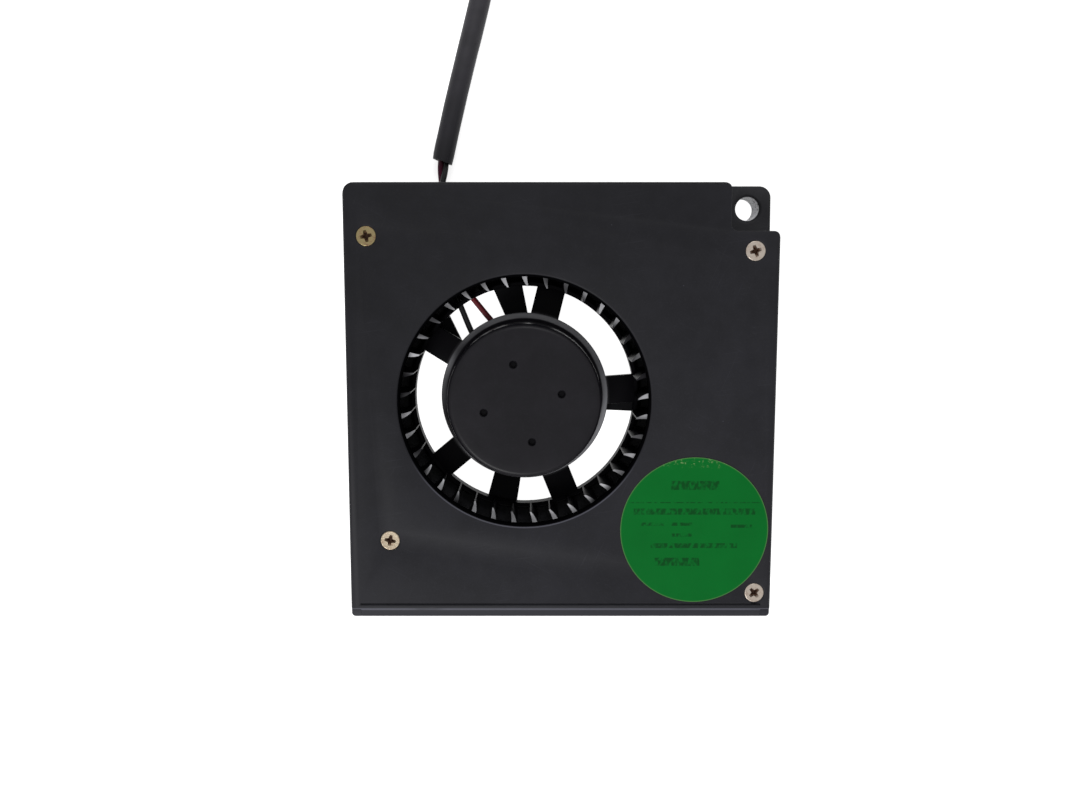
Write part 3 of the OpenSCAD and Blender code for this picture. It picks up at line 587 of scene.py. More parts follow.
    def build(self) -> bpy.types.Material:
        """Builds the material."""
        sheet = Sheet(self.name)
        grain = sheet.noise(self.grain_mm, 3, rough=0.62)
        cloud = sheet.noise(7.0, 3)
        patch = sheet.noise(1.6, 2)
        tone = sheet.math("ADD", sheet.math("MULTIPLY", cloud, 0.65), sheet.math("MULTIPLY", patch, 0.35))
        colour = sheet.blend(sheet.ramp(tone, 0.32, 0.68), scaled(self.colour, 1 - self.clouds),
                             scaled(self.colour, 1 + self.clouds))
        colour = sheet.blend(sheet.math("MULTIPLY", sheet.ramp(grain, 0.5, 0.75), 0.28), colour,
                             scaled(self.colour, 1.9))
        lines = None
        for angle, size in ((24, 0.11), (-61, 0.09), (82, 0.13)):
            hair = sheet.noise(size, 0, sheet.turned(angle, (1, 0.012, 1)))
            hair = sheet.math("MULTIPLY", sheet.ramp(hair, 0.745, 0.79),
                              sheet.ramp(sheet.noise(3.5, 1), 0.5, 0.62))
            lines = hair if lines is None else sheet.math("MAXIMUM", lines, hair)
        lines = sheet.math("MULTIPLY", lines, self.scratches)
        colour = sheet.blend(sheet.math("MULTIPLY", lines, 0.5), colour, scaled(self.colour, 3.2))
        cells = sheet.add("ShaderNodeTexVoronoi", {"Vector": sheet.place, "Scale": 1 / (1.7 * MM)})
        pick = sheet.add("ShaderNodeSeparateColor", {0: cells.outputs["Color"]}).outputs[0]
        fleck = sheet.math("MULTIPLY", sheet.math("LESS_THAN", cells.outputs["Distance"], 0.045),
                           sheet.math("GREATER_THAN", pick, 0.86))
        colour = sheet.blend(sheet.math("MULTIPLY", fleck, self.dust), colour, scaled(self.colour, 4.5))
        colour, specular = self.local_marks(sheet, colour)
        rough = sheet.math("ADD", self.roughness - 0.07, sheet.math("MULTIPLY", tone, 0.14))
        rough = sheet.math("SUBTRACT", rough, sheet.math("MULTIPLY", lines, 0.12))
        normal = sheet.bump(sheet.noise(2.4, 1), self.grain_depth * 1.2)
        normal = sheet.bump(grain, self.grain_depth, normal)
        normal = sheet.bump(lines, -0.004, normal)
        if isinstance(specular, Socket):
            sheet.tree.links.new(specular, sheet.shader.inputs["Specular IOR Level"])
            return sheet.finish(colour, rough, normal)
        return sheet.finish(colour, rough, normal, Specular_IOR_Level=specular)


@dataclass(frozen=True)
class WorkedMetal:
    """Metal with fine tool lines, stains and small pits."""

    name: str
    colour: tuple[float, float, float, float]
    roughness: float = 0.3
    grain: Grain = Grain.NONE
    stain: tuple[float, float, float, float] = (0.05, 0.035, 0.025, 1.0)
    stained: float = 0.25
    layers_mm: float = 0.0

    def build(self) -> bpy.types.Material:
        """Builds the material."""
        sheet = Sheet(self.name)
        spots = sheet.ramp(sheet.noise(0.55, 3, rough=0.65), 0.52, 0.72)
        colour = sheet.blend(sheet.math("MULTIPLY", spots, self.stained), self.colour, self.stain)
        colour = sheet.blend(sheet.math("MULTIPLY", sheet.noise(2.2, 2), 0.35), colour,
                             scaled(self.colour, 0.7))
        if self.grain is Grain.ROUND:
            flat = sheet.add("ShaderNodeVectorMath", {0: sheet.place, 1: (1, 1, 0)},
                             operation="MULTIPLY").outputs[0]
            reach = sheet.add("ShaderNodeVectorMath", {0: flat}, operation="LENGTH").outputs[1]
            lines = sheet.noise(0.06, 2, sheet.add("ShaderNodeCombineXYZ", {0: reach}).outputs[0])
        elif self.grain is Grain.ALONG_X:
            lines = sheet.noise(0.06, 2, sheet.turned(0, (0.02, 1, 1)))
        else:
            lines = sheet.noise(0.12, 3)
        normal = sheet.bump(lines, 0.004)
        if self.layers_mm:
            height = sheet.add("ShaderNodeSeparateXYZ", {0: sheet.place}).outputs[2]
            seam = sheet.math("PINGPONG", sheet.math("MULTIPLY", height, 1 / MM), self.layers_mm / 2)
            gap = sheet.math("LESS_THAN", seam, self.layers_mm * 0.09)
            colour = sheet.blend(gap, colour, scaled(self.colour, 0.15))
            normal = sheet.bump(gap, -0.02, normal)
        rough = sheet.math("ADD", self.roughness, sheet.math("MULTIPLY", spots, 0.18))
        return sheet.finish(colour, rough, normal, Metallic=1.0)


@dataclass(frozen=True)
class PlatedScrew:
    """Screw plating: pale where clean with dirt mottling, brown in the recess and darker deeper down as
    painted shade, its tone set by the piece's own attribute.
    """

    name: str = "screw_plating"
    clean: tuple[float, float, float, float] = linear(170, 160, 150)
    brassy: tuple[float, float, float, float] = linear(132, 120, 86)
    dirt_and_recess_brown: tuple[float, float, float, float] = linear(104, 76, 60)
    face_z: float = 10.0

    def build(self) -> bpy.types.Material:
        """Builds the material."""
        sheet = Sheet(self.name)
        tone = sheet.add("ShaderNodeAttribute", attribute_name="tone").outputs["Fac"]
        colour = sheet.blend(tone, self.clean, self.brassy)
        height = sheet.add("ShaderNodeSeparateXYZ", {0: sheet.place}).outputs[2]
        low = sheet.ramp(height, (self.face_z - 0.08) * MM, (self.face_z - 0.32) * MM)
        dirt = sheet.ramp(sheet.noise(0.4, 3, rough=0.7), 0.42, 0.72)
        share = sheet.math("ADD", 0.42, sheet.math("MULTIPLY", tone, 0.45))
        dirt_and_recess_brown = sheet.math("MAXIMUM", low, sheet.math("MULTIPLY", dirt, share))
        colour = sheet.blend(dirt_and_recess_brown, colour, self.dirt_and_recess_brown)
        # Painted shade: the recess turns darker still below 0.34 mm deep.
        colour = sheet.blend(sheet.ramp(height, (self.face_z - 0.34) * MM, (self.face_z - 0.5) * MM), colour,
                             scaled(self.dirt_and_recess_brown, 0.35))
        marks = sheet.noise(0.07, 2, sheet.turned(35, (1, 0.06, 1)))
        normal = sheet.bump(sheet.noise(0.16, 3), 0.012)
        normal = sheet.bump(marks, 0.006, normal)
        rough = sheet.math("ADD", 0.3, sheet.math("MULTIPLY", dirt_and_recess_brown, 0.4))
        return sheet.finish(colour, rough, normal, Metallic=0.85)


@dataclass(frozen=True)
class PrintedFilm:
    """Glossy printed label film with plain rules, small creases, pale spots along the top as a painted
    highlight and a paler rim.
    """

    name: str
    colour: tuple[float, float, float, float]
    centre: Triple
    radius: float
    rules: tuple[tuple[float, float, float, float], ...]

    def build(self) -> bpy.types.Material:
        """Builds the material."""
        sheet = Sheet(self.name)
        flat = sheet.turned(0, (1 / MM, 1 / MM, 1 / MM), self.centre)
        axes = sheet.add("ShaderNodeSeparateXYZ", {0: flat})
        across, upward = axes.outputs[0], axes.outputs[1]
        cloud = sheet.noise(5.0, 3)
        colour = sheet.blend(cloud, scaled(self.colour, 0.86), scaled(self.colour, 1.14))
        ink = None
        for x, y, half_w, half_h in self.rules:
            wide = sheet.ramp(sheet.math("ABSOLUTE", sheet.math("SUBTRACT", across, x)), half_w + 0.08,
                              half_w - 0.08)
            high = sheet.ramp(sheet.math("ABSOLUTE", sheet.math("SUBTRACT", upward, y)), half_h + 0.05,
                              half_h - 0.05)
            bar = sheet.math("MULTIPLY", wide, high)
            ink = bar if ink is None else sheet.math("MAXIMUM", ink, bar)
        ink = sheet.math("MULTIPLY", ink,
                         sheet.ramp(sheet.noise(0.42, 2, sheet.turned(8, (1, 0.5, 1))), 0.36, 0.6))
        colour = sheet.blend(sheet.math("MULTIPLY", ink, 0.6), colour, linear(8, 34, 16))
        reach = sheet.add("ShaderNodeVectorMath", {0: flat}, operation="LENGTH").outputs[1]
        # Painted highlight: pale spots along the top of the label, plus a paler rim.
        top = sheet.ramp(upward, self.radius - 1.5, self.radius - 0.5)
        highlight_and_pale_rim = sheet.math("MULTIPLY", top, sheet.ramp(sheet.noise(0.5, 3, rough=0.7), 0.56, 0.7))
        highlight_and_pale_rim = sheet.math("MAXIMUM", highlight_and_pale_rim,
                          sheet.math("MULTIPLY", sheet.ramp(reach, self.radius - 0.16, self.radius), 0.35))
        colour = sheet.blend(sheet.math("MULTIPLY", highlight_and_pale_rim, 0.75), colour, linear(150, 176, 120))
        crease = sheet.noise(1.3, 3, sheet.turned(12, (1, 3.2, 1)))
        normal = sheet.bump(sheet.noise(4.0, 1), 0.03)
        normal = sheet.bump(sheet.math("MULTIPLY", crease, sheet.math("ADD", 0.12, top)), 0.05, normal)
        rough = sheet.math("ADD", 0.26, sheet.math("MULTIPLY", highlight_and_pale_rim, 0.35))
        rough = sheet.math("ADD", rough, sheet.math("MULTIPLY", sheet.noise(0.8, 2), 0.1))
        return sheet.finish(colour, rough, normal, Specular_IOR_Level=0.07)


@dataclass(frozen=True)
class Vinyl:
    """Soft extruded vinyl: draw lines along it, a faint ripple round it and dust."""

    name: str
    colour: tuple[float, float, float, float]
    roughness: float = 0.48
    specular: float = 0.28
    line_count: float = 26.0
    ripple: float = 0.02
    far_colour: Optional[tuple[float, float, float, float]] = None
    far_from: float = 0.0
    far_to: float = 1.0

    def build(self) -> bpy.types.Material:
        """Builds the material."""
        sheet = Sheet(self.name)
        unwrapped = sheet.add("ShaderNodeUVMap", uv_map="along").outputs[0]
        lined = sheet.add("ShaderNodeVectorMath", {0: unwrapped, 1: (self.line_count, 0.35, 1)},
                          operation="MULTIPLY").outputs[0]
        lines = sheet.add("ShaderNodeTexNoise", {"Vector": lined, "Scale": 1.0, "Detail": 2.0}).outputs[0]
        cloud = sheet.noise(2.6, 3)
        colour = sheet.blend(sheet.ramp(cloud, 0.3, 0.7), scaled(self.colour, 0.82), scaled(self.colour, 1.2))
        # Past far_from the colour turns to far_colour. On the sleeve this is painted light: darker near the
        # housing, lighter further out. On the red lead it turns darker and more purple just past the housing.
        if self.far_colour is not None:
            away = sheet.add("ShaderNodeSeparateXYZ", {0: sheet.place}).outputs[1]
            far = sheet.blend(sheet.ramp(cloud, 0.3, 0.7), scaled(self.far_colour, 0.82),
                              scaled(self.far_colour, 1.2))
            colour = sheet.blend(sheet.ramp(away, self.far_from * MM, self.far_to * MM), colour, far)
        colour = sheet.blend(sheet.math("MULTIPLY", sheet.ramp(lines, 0.55, 0.8), 0.3), colour,
                             scaled(self.colour, 1.8))
        specks = sheet.ramp(sheet.noise(0.18, 1), 0.74, 0.8)
        colour = sheet.blend(sheet.math("MULTIPLY", specks, 0.5), colour, scaled(self.colour, 3.5))
        normal = sheet.bump(sheet.noise(1.4, 2), self.ripple)
        normal = sheet.bump(lines, 0.012, normal)
        rough = sheet.math("ADD", self.roughness - 0.06, sheet.math("MULTIPLY", cloud, 0.14))
        return sheet.finish(colour, rough, normal, Specular_IOR_Level=self.specular)


@dataclass(frozen=True)
class CoiledWire:
    """Enamelled copper wire wound in even turns, with painted shade between them."""

    name: str = "enamelled_copper"
    colour: tuple[float, float, float, float] = linear(186, 98, 48)
    wire_mm: float = 0.16

    def build(self) -> bpy.types.Material:
        """Builds the material."""
        sheet = Sheet(self.name)
        flat = sheet.add("ShaderNodeVectorMath", {0: sheet.place, 1: (1, 1, 0)},
                         operation="MULTIPLY").outputs[0]
        axes = sheet.add("ShaderNodeSeparateXYZ", {0: flat})
        reach = sheet.math("MAXIMUM", sheet.math("ABSOLUTE", axes.outputs[0]),
                           sheet.math("ABSOLUTE", axes.outputs[1]))
        turn = sheet.math("PINGPONG", sheet.math("MULTIPLY", reach, 1 / MM), self.wire_mm / 2)
        crown = sheet.math("DIVIDE", turn, self.wire_mm / 2)
        # Painted shade: dark in the grooves between turns.
        colour = sheet.blend(sheet.ramp(crown, 0.0, 0.6), scaled(self.colour, 0.25), self.colour)
        colour = sheet.blend(sheet.math("MULTIPLY", sheet.noise(0.9, 2), 0.4), colour,
                             scaled(self.colour, 0.6))
        normal = sheet.bump(sheet.math("POWER", crown, 0.5), 0.05)
        return sheet.finish(colour, 0.28, normal, Metallic=0.9, Coat_Weight=0.4)


@dataclass(frozen=True)
class BoardLacquer:
    """Green solder mask over glass-fibre board, with copper runs that show through."""

    name: str = "board_lacquer"
    colour: tuple[float, float, float, float] = linear(24, 92, 48)

    def build(self) -> bpy.types.Material:
        """Builds the material."""
        sheet = Sheet(self.name)
        weave = sheet.math("MULTIPLY", sheet.noise(0.2, 1, sheet.turned(0, (1, 0.1, 1))),
                           sheet.noise(0.2, 1, sheet.turned(90, (1, 0.1, 1))))
        cells = sheet.add("ShaderNodeTexVoronoi", {"Vector": sheet.place, "Scale": 1 / (2.2 * MM)},
                          feature="DISTANCE_TO_EDGE").outputs[0]
        runs = sheet.ramp(cells, 0.08, 0.11)
        colour = sheet.blend(runs, scaled(self.colour, 1.7), self.colour)
        colour = sheet.blend(sheet.math("MULTIPLY", weave, 0.5), colour, scaled(self.colour, 0.5))
        normal = sheet.bump(runs, -0.02)
        return sheet.finish(colour, 0.3, normal, Specular_IOR_Level=0.5, Coat_Weight=0.3)


BLACK = linear(29, 29, 33)
# The base is the same black plastic as the cover, painted lighter to make up for the shade on its ear.
BASE_PLASTIC = MouldedPlastic("base_plastic", linear(43, 43, 46), specular=0.12, lit_bore=(27.1, 23.0, 1.4))
# From this Y outwards the cover's lip is painted lit.
COVER_PLASTIC = MouldedPlastic("cover_plastic", BLACK, specular=0.12, lit_lip_y=-25.35)
# The impeller carries painted shade in its depth and painted light on its blade tips and flange.
ROTOR_PLASTIC = MouldedPlastic("rotor_plastic", linear(22, 21, 25), roughness=0.36, specular=0.13,
                               grain_mm=0.3,
                               grain_depth=0.004, scratches=0.15, depth_shaded=True)
# The sleeve is painted darker near the housing as painted shade, and lighter further out.
SLEEVE_VINYL = Vinyl("sleeve_vinyl", linear(27, 26, 31), specular=0.2, far_colour=linear(48, 47, 51),
                     far_from=32,
                     far_to=46)
BLACK_LEAD = Vinyl("black_lead_vinyl", linear(18, 18, 21), roughness=0.35, specular=0.2, line_count=8,
                   ripple=0.006)
RED_LEAD = Vinyl("red_lead_vinyl", linear(114, 24, 36), roughness=0.35, specular=0.22, line_count=8,
                 ripple=0.006,
                 far_colour=linear(80, 22, 48), far_from=24.6, far_to=26.2)
IVORY_NYLON = MouldedPlastic("ivory_nylon", linear(226, 221, 208), roughness=0.4, specular=0.45, clouds=0.05,
                             scratches=0.1, dust=0.05)


# ---- cable ---------------------------------------------------------------------------


@dataclass
class CableSet:
    """The two leads, the sleeve over them, its wound end, the tie and the free lead ends."""

    lead_r: float = 0.37
    sleeve_r: float = 1.22
    sleeve_wall: float = 0.28
    loose_extra: float = 0.09
    loose_len: float = 32.0
    twist_r: float = 0.31
    twist_from: float = -70.0
    twist_by: float = -146.0
    coil_x: float = 10.8
    coil_y: float = 66.0
    coil_r: float = 12.5
    low_z: float = 1.57
    high_z: float = 4.07
    entry_angle: float = 167.1
    exit_angle: float = 77.0
    real_length: float = 0.153
    plug_x: float = 36.0
    plug_y: float = 79.2
    plug_z: float = 1.7
    plug_angle: float = 8.0
    contact_pitch: float = 2.0

    def free_run(self) -> list[Triple]:
        """Route of the sleeve from the housing to the coil."""
        return [(-10.15, 28.9, 1.5), (-9.4, 32.2, 1.5), (-8.2, 37.2, 1.5), (-6.9, 42.2, 1.5),
                (-5.6, 47.2, 1.5),
                (-4.3, 52.8, 1.6), (-3.2, 58.4, 1.6), (-2.1, 64, 1.6), (-1.4, 68.8, 1.6)]

    def wound_run(self) -> list[Triple]:
        """Route of the sleeve in the coil: one turn on the floor, then a quarter turn over it."""
        run = []
        angle = self.entry_angle - 9
        while angle > self.exit_angle - 360 + 5:
            lift = min(1.0, max(0.0, (-95 - angle) / 62))
            height = self.low_z + (self.high_z - self.low_z) * lift * lift * (3 - 2 * lift)
            turn = math.radians(angle)
            run.append((self.coil_x + self.coil_r * math.cos(turn),
                        self.coil_y + self.coil_r * math.sin(turn), height))
            angle -= 9
        return run

    def tail_run(self) -> list[Triple]:
        """Route of the sleeve from the coil to its far end."""
        return [(13.6, 78.2, 4.1), (17, 77.6, 3.9), (20.5, 77.2, 3), (24, 77.2, 1.9), (27.5, 77.6, 1.7)]

    def sleeve_line(self) -> list[Vector]:
        """Centreline of the whole sleeve, in millimetres."""
        return smooth_path(self.free_run() + self.wound_run() + self.tail_run(), 3)

    def lead_line(self, route: Sequence[Triple], phase: float) -> list[Vector]:
        """Centreline of one lead, from the board to just inside the sleeve.

        Args:
            route: Its route in the housing.
            phase: Where it starts round the twist, in degrees.

        Returns:
            The centreline, in millimetres.
        """
        start, end = Vector((-10.3, 25.5, 1.18)), Vector((-10, 29.4, 1.4))
        points = list(route)
        for i in range(9):
            t = i / 8
            a = math.radians(phase + self.twist_from + self.twist_by * t)
            points.append(tuple(start.lerp(end, t) + self.twist_r * Vector((math.cos(a), 0, math.sin(a)))))
        points.append(tuple(Vector(points[-1]) + Vector((0.15, 1.1, 0.02))))
        return smooth_path(points, 4)

    def tail_lead_line(self, side: int) -> list[Vector]:
        """Centreline of a free lead, from the sleeve's far end into the connector."""
        start = Vector(self.tail_run()[-1])
        turn = math.radians(self.plug_angle)
        back, away = Vector((math.cos(turn), math.sin(turn), 0)), side * self.contact_pitch / 2
        entry = Vector((self.plug_x - away * math.sin(turn), self.plug_y + away * math.cos(turn),
                        self.plug_z))
        gap = self.lead_r + 0.05
        return smooth_path([start + Vector((-1.5, side * gap * 0.9, 0)), start + Vector((0.2, side * gap, 0)),
                            start + Vector((2.5, side * gap + 0.25, 0)), entry - 2.5 * back, entry,
                            entry + 1.6 * back], 5)

    def round_section(self, radius: float) -> Callable[[float, float, float], tuple[float, float]]:
        """A plain round section."""
        return lambda share, angle, run: (radius, radius)

    def build_sleeve(self) -> tuple[Piece, list[Vector]]:
        """Makes the sleeve, open at both ends, and its centreline."""
        line = self.sleeve_line()

        def section(share: float, angle: float, run: float) -> tuple[float, float]:
            spread = 0.03 * noise.noise(Vector((run * 0.35, math.cos(angle), math.sin(angle))))
            near = min(run, (1 - share) * path_length(line))
            lip = -0.05 * max(0.0, 1 - near / 0.25)
            loose = self.loose_extra * min(1.0, max(0.0, 1 + (self.loose_len - run) / 8))
            radius = self.sleeve_r - 0.02 + spread + lip + loose
            return radius, radius

        mesh = sweep("cable_sleeve_tube", line, 28, section, wall=self.sleeve_wall, skew=0.14)
        return dress(add_piece("cable_sleeve_tube", mesh), SLEEVE_VINYL), line

    def build_tie(self) -> Piece:
        """Makes the wire tie round the coil's two turns, its ends twisted together."""
        turn = math.radians(120)
        out, along = Vector((math.cos(turn), math.sin(turn), 0)), Vector((-math.sin(turn), math.cos(turn), 0))
        centre = Vector((self.coil_x, self.coil_y, 0)) + out * self.coil_r
        half_w, half_h, mid = self.sleeve_r + 0.3, 2.85, 2.87
        loop = []
        for k in range(49):
            a = math.tau * k / 48
            bend = max(abs(math.cos(a)) / half_w, abs(math.sin(a)) / half_h)
            reach = 0.55 / bend + 0.45 * math.hypot(half_w * math.cos(a), half_h * math.sin(a))
            loop.append(centre + out * reach * math.cos(a) + Vector((0, 0, mid + reach * math.sin(a)))
                        + along * (0.5 * (k / 48 - 0.5)))
        parts = [sweep("tie_loop", loop, 12, lambda s, a, r: (0.55, 0.16))]
        for side in (0, 180):
            tails = []
            for k in range(41):
                a = math.radians(side + 28 * k)
                tails.append(centre + out * (half_w + 0.1 + 4.9 * k / 40) + along * 0.3 * math.cos(a)
                             + Vector((0, 0, mid + 0.3 * math.sin(a))))
            parts.append(sweep("tie_tail", tails, 10, lambda s, a, r: (0.2, 0.2)))
        return join_meshes("coil_tie_wire", parts)

    def build(self) -> None:
        black = [(-5.6, 5.6, 0.8), (-6.9, 8.2, 0.8), (-8.1, 11.1, 0.8), (-9.5, 14.1, 0.8),
                 (-10.65, 17.2, 0.8),
                 (-10.7, 20.7, 0.8), (-10.75, 24.2, 1.1)]
        red = [(-2.6, 7.6, 0.8), (-4.4, 9.5, 0.8), (-6.7, 12.3, 0.8), (-8.8, 14.7, 0.8), (-9.85, 17.6, 0.8),
               (-9.9, 20.7, 0.8), (-9.85, 24.2, 0.8)]
        sleeve, line = self.build_sleeve()
        place(sleeve, Body.HOUSING, "sleeve_pvc", "cable_sleeve", "cable_coil")
        for name, route, phase, finish in (("red", red, 0.0, RED_LEAD), ("black", black, 180.0, BLACK_LEAD)):
            mesh = sweep(f"lead_{name}_wire", self.lead_line(route, phase), 14,
                         self.round_section(self.lead_r))
            piece = dress(add_piece(f"lead_{name}_wire", mesh), finish)
            place(piece, Body.HOUSING, f"lead_{name}_pvc", f"lead_{name}")
        for name, side, finish in (("red", 1, RED_LEAD), ("black", -1, BLACK_LEAD)):
            mesh = sweep(f"tail_{name}_wire", self.tail_lead_line(side), 14, self.round_section(self.lead_r))
            piece = dress(add_piece(f"tail_{name}_wire", mesh), finish)
            place(piece, Body.HOUSING, f"lead_{name}_pvc", f"lead_tail_{name}")
        tie = dress(self.build_tie(), BLACK_LEAD)
        place(tie, Body.HOUSING, "tie_plastic", "coil_tie")
        plug = dress(edged_copy("connector_housing", "plug_shell", 0.12), IVORY_NYLON)
        place(plug, Body.HOUSING, "connector_nylon", "connector_housing")
        log.info("sleeve measures %.1f mm", path_length(line))


def join_meshes(name: str, parts: Sequence[bpy.types.Mesh]) -> Piece:
    """Joins meshes into one piece.

    Args:
        name: The piece's name.
        parts: The meshes.

    Returns:
        The new piece.
    """
    work = bmesh.new()
    for part in parts:
        work.from_mesh(part)
    mesh = bpy.data.meshes.new(name)
    work.to_mesh(mesh)
    work.free()
    return add_piece(name, mesh)


# ---- rotor ---------------------------------------------------------------------------


@dataclass
class Impeller:
    """Hub, flange, spokes and rings in mesh code, with the blade row grown on them by a node tree."""

    blades: int = 37
    blade_in: float = 13.7
    blade_out: float = 17.4
    back_rise: float = 1.0
    hollow_rise: float = 0.35
    foot_z: float = 1.55
    top_z: float = 8.4
    ring_t: float = 0.55
    ring_h: float = 1.75
    band_t: float = 0.5
    band_h: float = 0.7
    spokes: int = 5
    spoke_from: float = 4.0
    spoke_w: float = 3.5
    spoke_t: float = 1.1
    hub_r: float = 9.3
    hub_top: float = 9.2
    hub_edge: float = 0.7
    flange_r: float = 10.4
    flange_t: float = 0.4
    cup_r: float = 8.62
    cup_top: float = 8.4
    dimple_pitch: float = 4.8
    dimple_r: float = 0.4
    dimple_d: float = 0.45
    dimple_from: float = 13.5
    dimple_centre: tuple[float, float] = (-0.2, -0.25)

    def hub_mesh(self) -> bpy.types.Mesh:
        """Hub with its rounded edge, hollow flare and flange."""
        flange_z = self.foot_z + self.ring_h
        under = flange_z - self.flange_t
        flare = self.flange_r - self.hub_r
        section = [(0.01, self.cup_top), (self.cup_r, self.cup_top), (self.cup_r, under),
                   (self.flange_r - 0.08, under)]
        section += arc(self.flange_r - 0.1, under + 0.1, 0.1, -90, 0, 3)
        section += [(self.flange_r, flange_z - 0.04)]
        section += arc(self.hub_r + flare, flange_z + flare, flare, 270, 180, 10)
        section += [(self.hub_r, self.hub_top - self.hub_edge)]
        section += arc(self.hub_r - self.hub_edge, self.hub_top - self.hub_edge, self.hub_edge, 0, 90, 8)
        section += [(self.hub_r - 1.6, self.hub_top), (self.dimple_pitch, self.hub_top), (0.01, self.hub_top)]
        verts, faces = revolve(section, 128, True)
        mesh = mesh_from("hub", verts, faces)
        tidy_normals(mesh, 0.03)
        return mesh

    def dimple_cutter(self) -> bpy.types.Mesh:
        """Four round pits with steep walls and a narrow bevelled rim."""
        deep, rim = self.dimple_d, self.dimple_r + 0.12
        section = [(0.005, -deep), (self.dimple_r - 0.05, -deep), (self.dimple_r, -0.12), (rim, 0),
                   (rim, 0.2),
                   (0.005, 0.2)]
        verts, faces = revolve(section, 24, True)
        work = bmesh.new()
        for k in range(4):
            a = math.radians(self.dimple_from + 90 * k)
            spot = Vector((self.dimple_centre[0] + self.dimple_pitch * math.cos(a),
                           self.dimple_centre[1] + self.dimple_pitch * math.sin(a), self.hub_top))
            work.from_mesh(mesh_from("dimple", [Vector(v) + spot for v in verts], faces))
        bmesh.ops.recalc_face_normals(work, faces=work.faces)
        mesh = bpy.data.meshes.new("dimples")
        work.to_mesh(mesh)
        work.free()
        return mesh

    def ring_mesh(self, inner: float, outer: float, low: float, high: float,
                  soft: float = 0.1) -> bpy.types.Mesh:
        """Flat ring with softened edges."""
        section = [(inner, low + soft), (inner + soft, low), (outer - soft, low), (outer, low + soft),
                   (outer, high - soft), (outer - soft, high), (inner + soft, high), (inner, high - soft)]
        verts, faces = revolve(section, 148, True)
        mesh = mesh_from("ring", verts, faces)
        tidy_normals(mesh, 0.0)
        return mesh

    def spoke_mesh(self) -> bpy.types.Mesh:
        """All the spokes, with softened edges."""
        work = bmesh.new()
        low = self.foot_z + self.ring_h - self.spoke_t - 0.05
        start, end = self.cup_r + 0.45, self.blade_in + self.ring_t * 0.6
        for k in range(self.spokes):
            turn = Matrix.Rotation(math.radians(self.spoke_from + k * 360 / self.spokes), 4, "Z")
            centre = Vector(((start + end) / 2, 0, low + self.spoke_t / 2)) * MM
            size = Matrix.Diagonal(((end - start) * MM, self.spoke_w * MM, self.spoke_t * MM, 1))
            bmesh.ops.create_cube(work, size=1, matrix=turn @ Matrix.Translation(centre) @ size)
        bmesh.ops.bevel(work, geom=work.edges[:], offset=0.14 * MM, segments=3, profile=0.5, affect="EDGES")
        mesh = bpy.data.meshes.new("spokes")
        work.to_mesh(mesh)
        work.free()
        return mesh

    def blade_tree(self) -> bpy.types.GeometryNodeTree:
        """Node tree that grows one crescent blade by its rule and repeats it round the axis."""
        tree = bpy.data.node_groups.new("blade_row", "GeometryNodeTree")
        side = tree.interface
        side.new_socket("Geometry", in_out="INPUT", socket_type="NodeSocketGeometry")
        side.new_socket("Blades", in_out="INPUT", socket_type="NodeSocketInt")
        for title in ("Inner Radius", "Outer Radius", "Back Rise", "Hollow Rise", "Foot", "Top"):
            side.new_socket(title, in_out="INPUT", socket_type="NodeSocketFloat")
        side.new_socket("Finish", in_out="INPUT", socket_type="NodeSocketMaterial")
        side.new_socket("Geometry", in_out="OUTPUT", socket_type="NodeSocketGeometry")
        given = add_node(tree, "NodeGroupInput").outputs
        block = add_node(tree, "GeometryNodeMeshCube", {"Size": (1, 1, 1), "Vertices X": 9, "Vertices Y": 2,
                                                        "Vertices Z": 2})
        axes = add_node(tree, "ShaderNodeSeparateXYZ",
                        {0: add_node(tree, "GeometryNodeInputPosition").outputs[0]})
        share, face, level = (math_node(tree, "ADD", axes.outputs[i], 0.5) for i in range(3))
        inside = math_node(tree, "MULTIPLY_ADD", share, 0.86, 0.07)
        arch = math_node(tree, "MULTIPLY", math_node(tree, "MULTIPLY", inside, 4.0),
                         math_node(tree, "SUBTRACT", 1.0, inside))
        rise = add_node(tree, "ShaderNodeMix",
                        {0: face, 2: given["Hollow Rise"], 3: given["Back Rise"]}).outputs[0]
        reach = add_node(tree, "ShaderNodeMix",
                         {0: share, 2: given["Inner Radius"], 3: given["Outer Radius"]}).outputs[0]
        height = add_node(tree, "ShaderNodeMix", {0: level, 2: given["Foot"], 3: given["Top"]}).outputs[0]
        spot = add_node(tree, "ShaderNodeCombineXYZ",
                        {0: reach, 1: math_node(tree, "MULTIPLY", arch, rise), 2: height})
        blade = add_node(tree, "GeometryNodeSetPosition", {"Geometry": block.outputs["Mesh"],
                                                           "Position": spot.outputs[0]})
        seeds = add_node(tree, "GeometryNodePoints", {"Count": given["Blades"]})
        number = add_node(tree, "GeometryNodeInputIndex").outputs[0]
        pitch = math_node(tree, "DIVIDE", math.tau, given["Blades"])
        turn = add_node(tree, "ShaderNodeCombineXYZ",
                        {2: math_node(tree, "MULTIPLY", number, pitch)}).outputs[0]
        spin = add_node(tree, "FunctionNodeEulerToRotation", {0: turn}).outputs[0]
        row = add_node(tree, "GeometryNodeInstanceOnPoints", {"Points": seeds.outputs[0],
                                                              "Instance": blade.outputs[0], "Rotation": spin})
        whole = add_node(tree, "GeometryNodeJoinGeometry", {0: row.outputs[0]})
        tree.links.new(given["Geometry"], whole.inputs[0])
        real = add_node(tree, "GeometryNodeRealizeInstances", {0: whole.outputs[0]})
        done = add_node(tree, "GeometryNodeSetMaterial", {0: real.outputs[0], "Material": given["Finish"]})
        add_node(tree, "NodeGroupOutput", {0: done.outputs[0]})
        return tree

